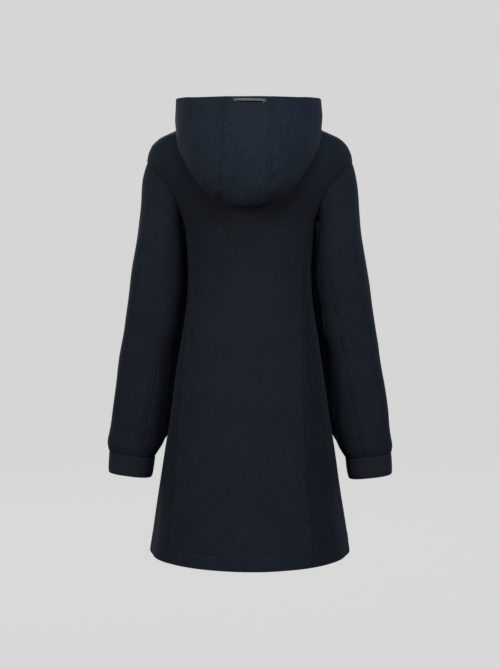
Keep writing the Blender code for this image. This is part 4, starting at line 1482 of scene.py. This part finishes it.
# Each tack: how far right, how far below the rim, its run to the right and down, in mm
TACKS = (
    (-28.1, 7.4, 6.6, 8.6),
    (-27.4, 6.6, -5.0, 6.4),
    (-30.4, 6.0, 0.8, 5.6),
    (26.6, 7.8, 2.2, 5.6),
    (23.6, 10.8, -1.8, 4.0),
)
tacks = []
for measures in TACKS:
    right, below, run_right, run_down = np.array(measures) / 1000
    (start,), (up,) = below_rim(below - run_down / 2, np.array([right - run_right / 2]))
    (end,), _ = below_rim(below + run_down / 2, np.array([right + run_right / 2]))
    tacks.append(((start + end) / 2 + up * TACK_LIFT, end - start, up))
set_down("loop_tacks", one_bar(TACK_SIZE), tacks, loop_tape)

# %% [markdown]
# ## Zip
#
# Two woven tapes carry moulded teeth that lock in turn, up the front and the hood's
# front edges. The slider and its pull tab keep their CAD form.

# %% Zip tapes
TAPE_WIDTH = 0.0145
TAPE_DEPTH = 0.0040
TAPE_THICKNESS = 0.0010
TAPE_COLUMNS = 10
NECK_SETBACK = 0.0008
SEAM_GAP = 0.0003

zip_heights = np.linspace(HEM, 0.0, 190)
zip_stations = np.linspace(0, 1, 24)[2:]


def zip_line(across):
    """Points beside the middle of the front, up the coat and the hood's front edge."""
    body = torso_point(front_angle(np.full_like(zip_heights, across), zip_heights), zip_heights)
    turn = np.degrees(across / HOOD("rim_reach", -90))
    hood = hood_point(-90 + turn, zip_stations)
    return np.concatenate([body, hood])


def zip_strip(from_across, to_across, columns, depth):
    """A grid up the zip, this deep under the fronts and set back where they end."""
    lines = [zip_line(across) for across in np.linspace(from_across, to_across, columns + 1)]
    grid = np.stack(lines, axis=1)
    setback = NECK_SETBACK * bump(np.arange(len(grid)) - len(zip_heights), 3.0)
    return grid - normals_of(grid) * (depth + setback[:, None])[..., None]


tape_grid = zip_strip(SEAM_GAP, TAPE_WIDTH, TAPE_COLUMNS, TAPE_DEPTH)
for word, side in SIDES:
    cloth(f"tape_{word}", tape_grid, zip_tape, side, seams="", free="r", wall=TAPE_THICKNESS)

# %% Teeth
TOOTH_SIZE = (0.0017, 0.0042, 0.0024)
TOOTH_BEVEL = min(TOOTH_SIZE) * 0.22
TOOTH_PITCH = 0.0030
TOOTH_ASIDE = 0.0012
FIRST_TOOTH = 0.0020
TEETH_DEPTH = 0.0013


def one_tooth():
    """A tooth: a small block with its edges taken off."""
    made = bmesh.new()
    bmesh.ops.create_cube(made, size=1.0)
    bmesh.ops.scale(made, vec=TOOTH_SIZE, verts=made.verts[:])
    taken_off = {"offset": TOOTH_BEVEL, "offset_type": "OFFSET", "segments": 1, "profile": 0.5}
    bmesh.ops.bevel(made, geom=made.edges[:], affect="EDGES", material=-1, **taken_off)
    return kept_mesh(made, "one_block")


middle_strip = zip_strip(-0.001, 0.001, 2, TEETH_DEPTH)
centre_line, facing = middle_strip[:, 1], normals_of(middle_strip)[:, 1]
tooth = one_tooth()
rows_of_teeth = []
for side, start in ((1, FIRST_TOOTH), (-1, FIRST_TOOTH + TOOTH_PITCH / 2)):
    aside = np.array([side * TOOTH_ASIDE, 0.0, 0.0])
    for centre, along, up in along_line(centre_line, facing, TOOTH_PITCH, start, 0.002, 0.0):
        rows_of_teeth.append((centre + aside, along, up))
teeth = set_down("teeth", tooth, rows_of_teeth, moulded)
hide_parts("zip_chain")
for node in ("zip_slider", "zip_pull"):
    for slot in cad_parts[node].material_slots:
        slot.material = plated

# %% [markdown]
# ## What each sheet was cut to
#
# Every cloth piece stands for the node it covers, and says how it is held and how large
# its flat cut is. A panel that curves both ways, such as the hood's side, opens out
# flat to a shorter cut than its longest line, filling most of the cut's rectangle.

LEAST_FILLED = 0.6
ROLES = {
    "back": ("back_panel", "fleece", "hung", ["hood_middle"]),
    "hood_middle": ("hood_centre", "fleece", "draped", ["back"]),
    "loop": ("hanging_loop", "tape", "tacked", ["hood_middle"]),
}
for word in WORDS:
    front, upper = f"front_{word}", f"sleeve_upper_{word}"
    ROLES[front] = (f"front_panel_{word}", "fleece", "hung", ["back"])
    ROLES[f"side_{word}"] = (f"side_panel_{word}", "fleece", "hung", ["back", front])
    ROLES[upper] = (f"upper_sleeve_{word}", "fleece", "hung", ["back", front])
    ROLES[f"sleeve_under_{word}"] = (f"under_sleeve_{word}", "fleece", "hung", [f"side_{word}"])
    ROLES[f"rib_cuff_{word}"] = (f"cuff_{word}", "rib", "stretched", [upper])
    ROLES[f"hood_{word}"] = (f"hood_side_{word}", "fleece", "draped", ["back", front])
    ROLES[f"tape_{word}"] = (f"zip_tape_{word}", "zip_tape", "stretched", [front])
for name, (node, slot, held, rests_on) in ROLES.items():
    piece = sheets[name]
    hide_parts(node)
    if held == "tacked":
        continue
    width, area = piece["width"], piece["area"]
    opened = min(piece["length"], area / LEAST_FILLED / width)
    flat = (round(width, 4) + 0.0001, round(max(opened, area / width), 4) + 0.0001)
    print(f"{name}: cut {flat[0]:.3f} x {flat[1]:.3f} m")
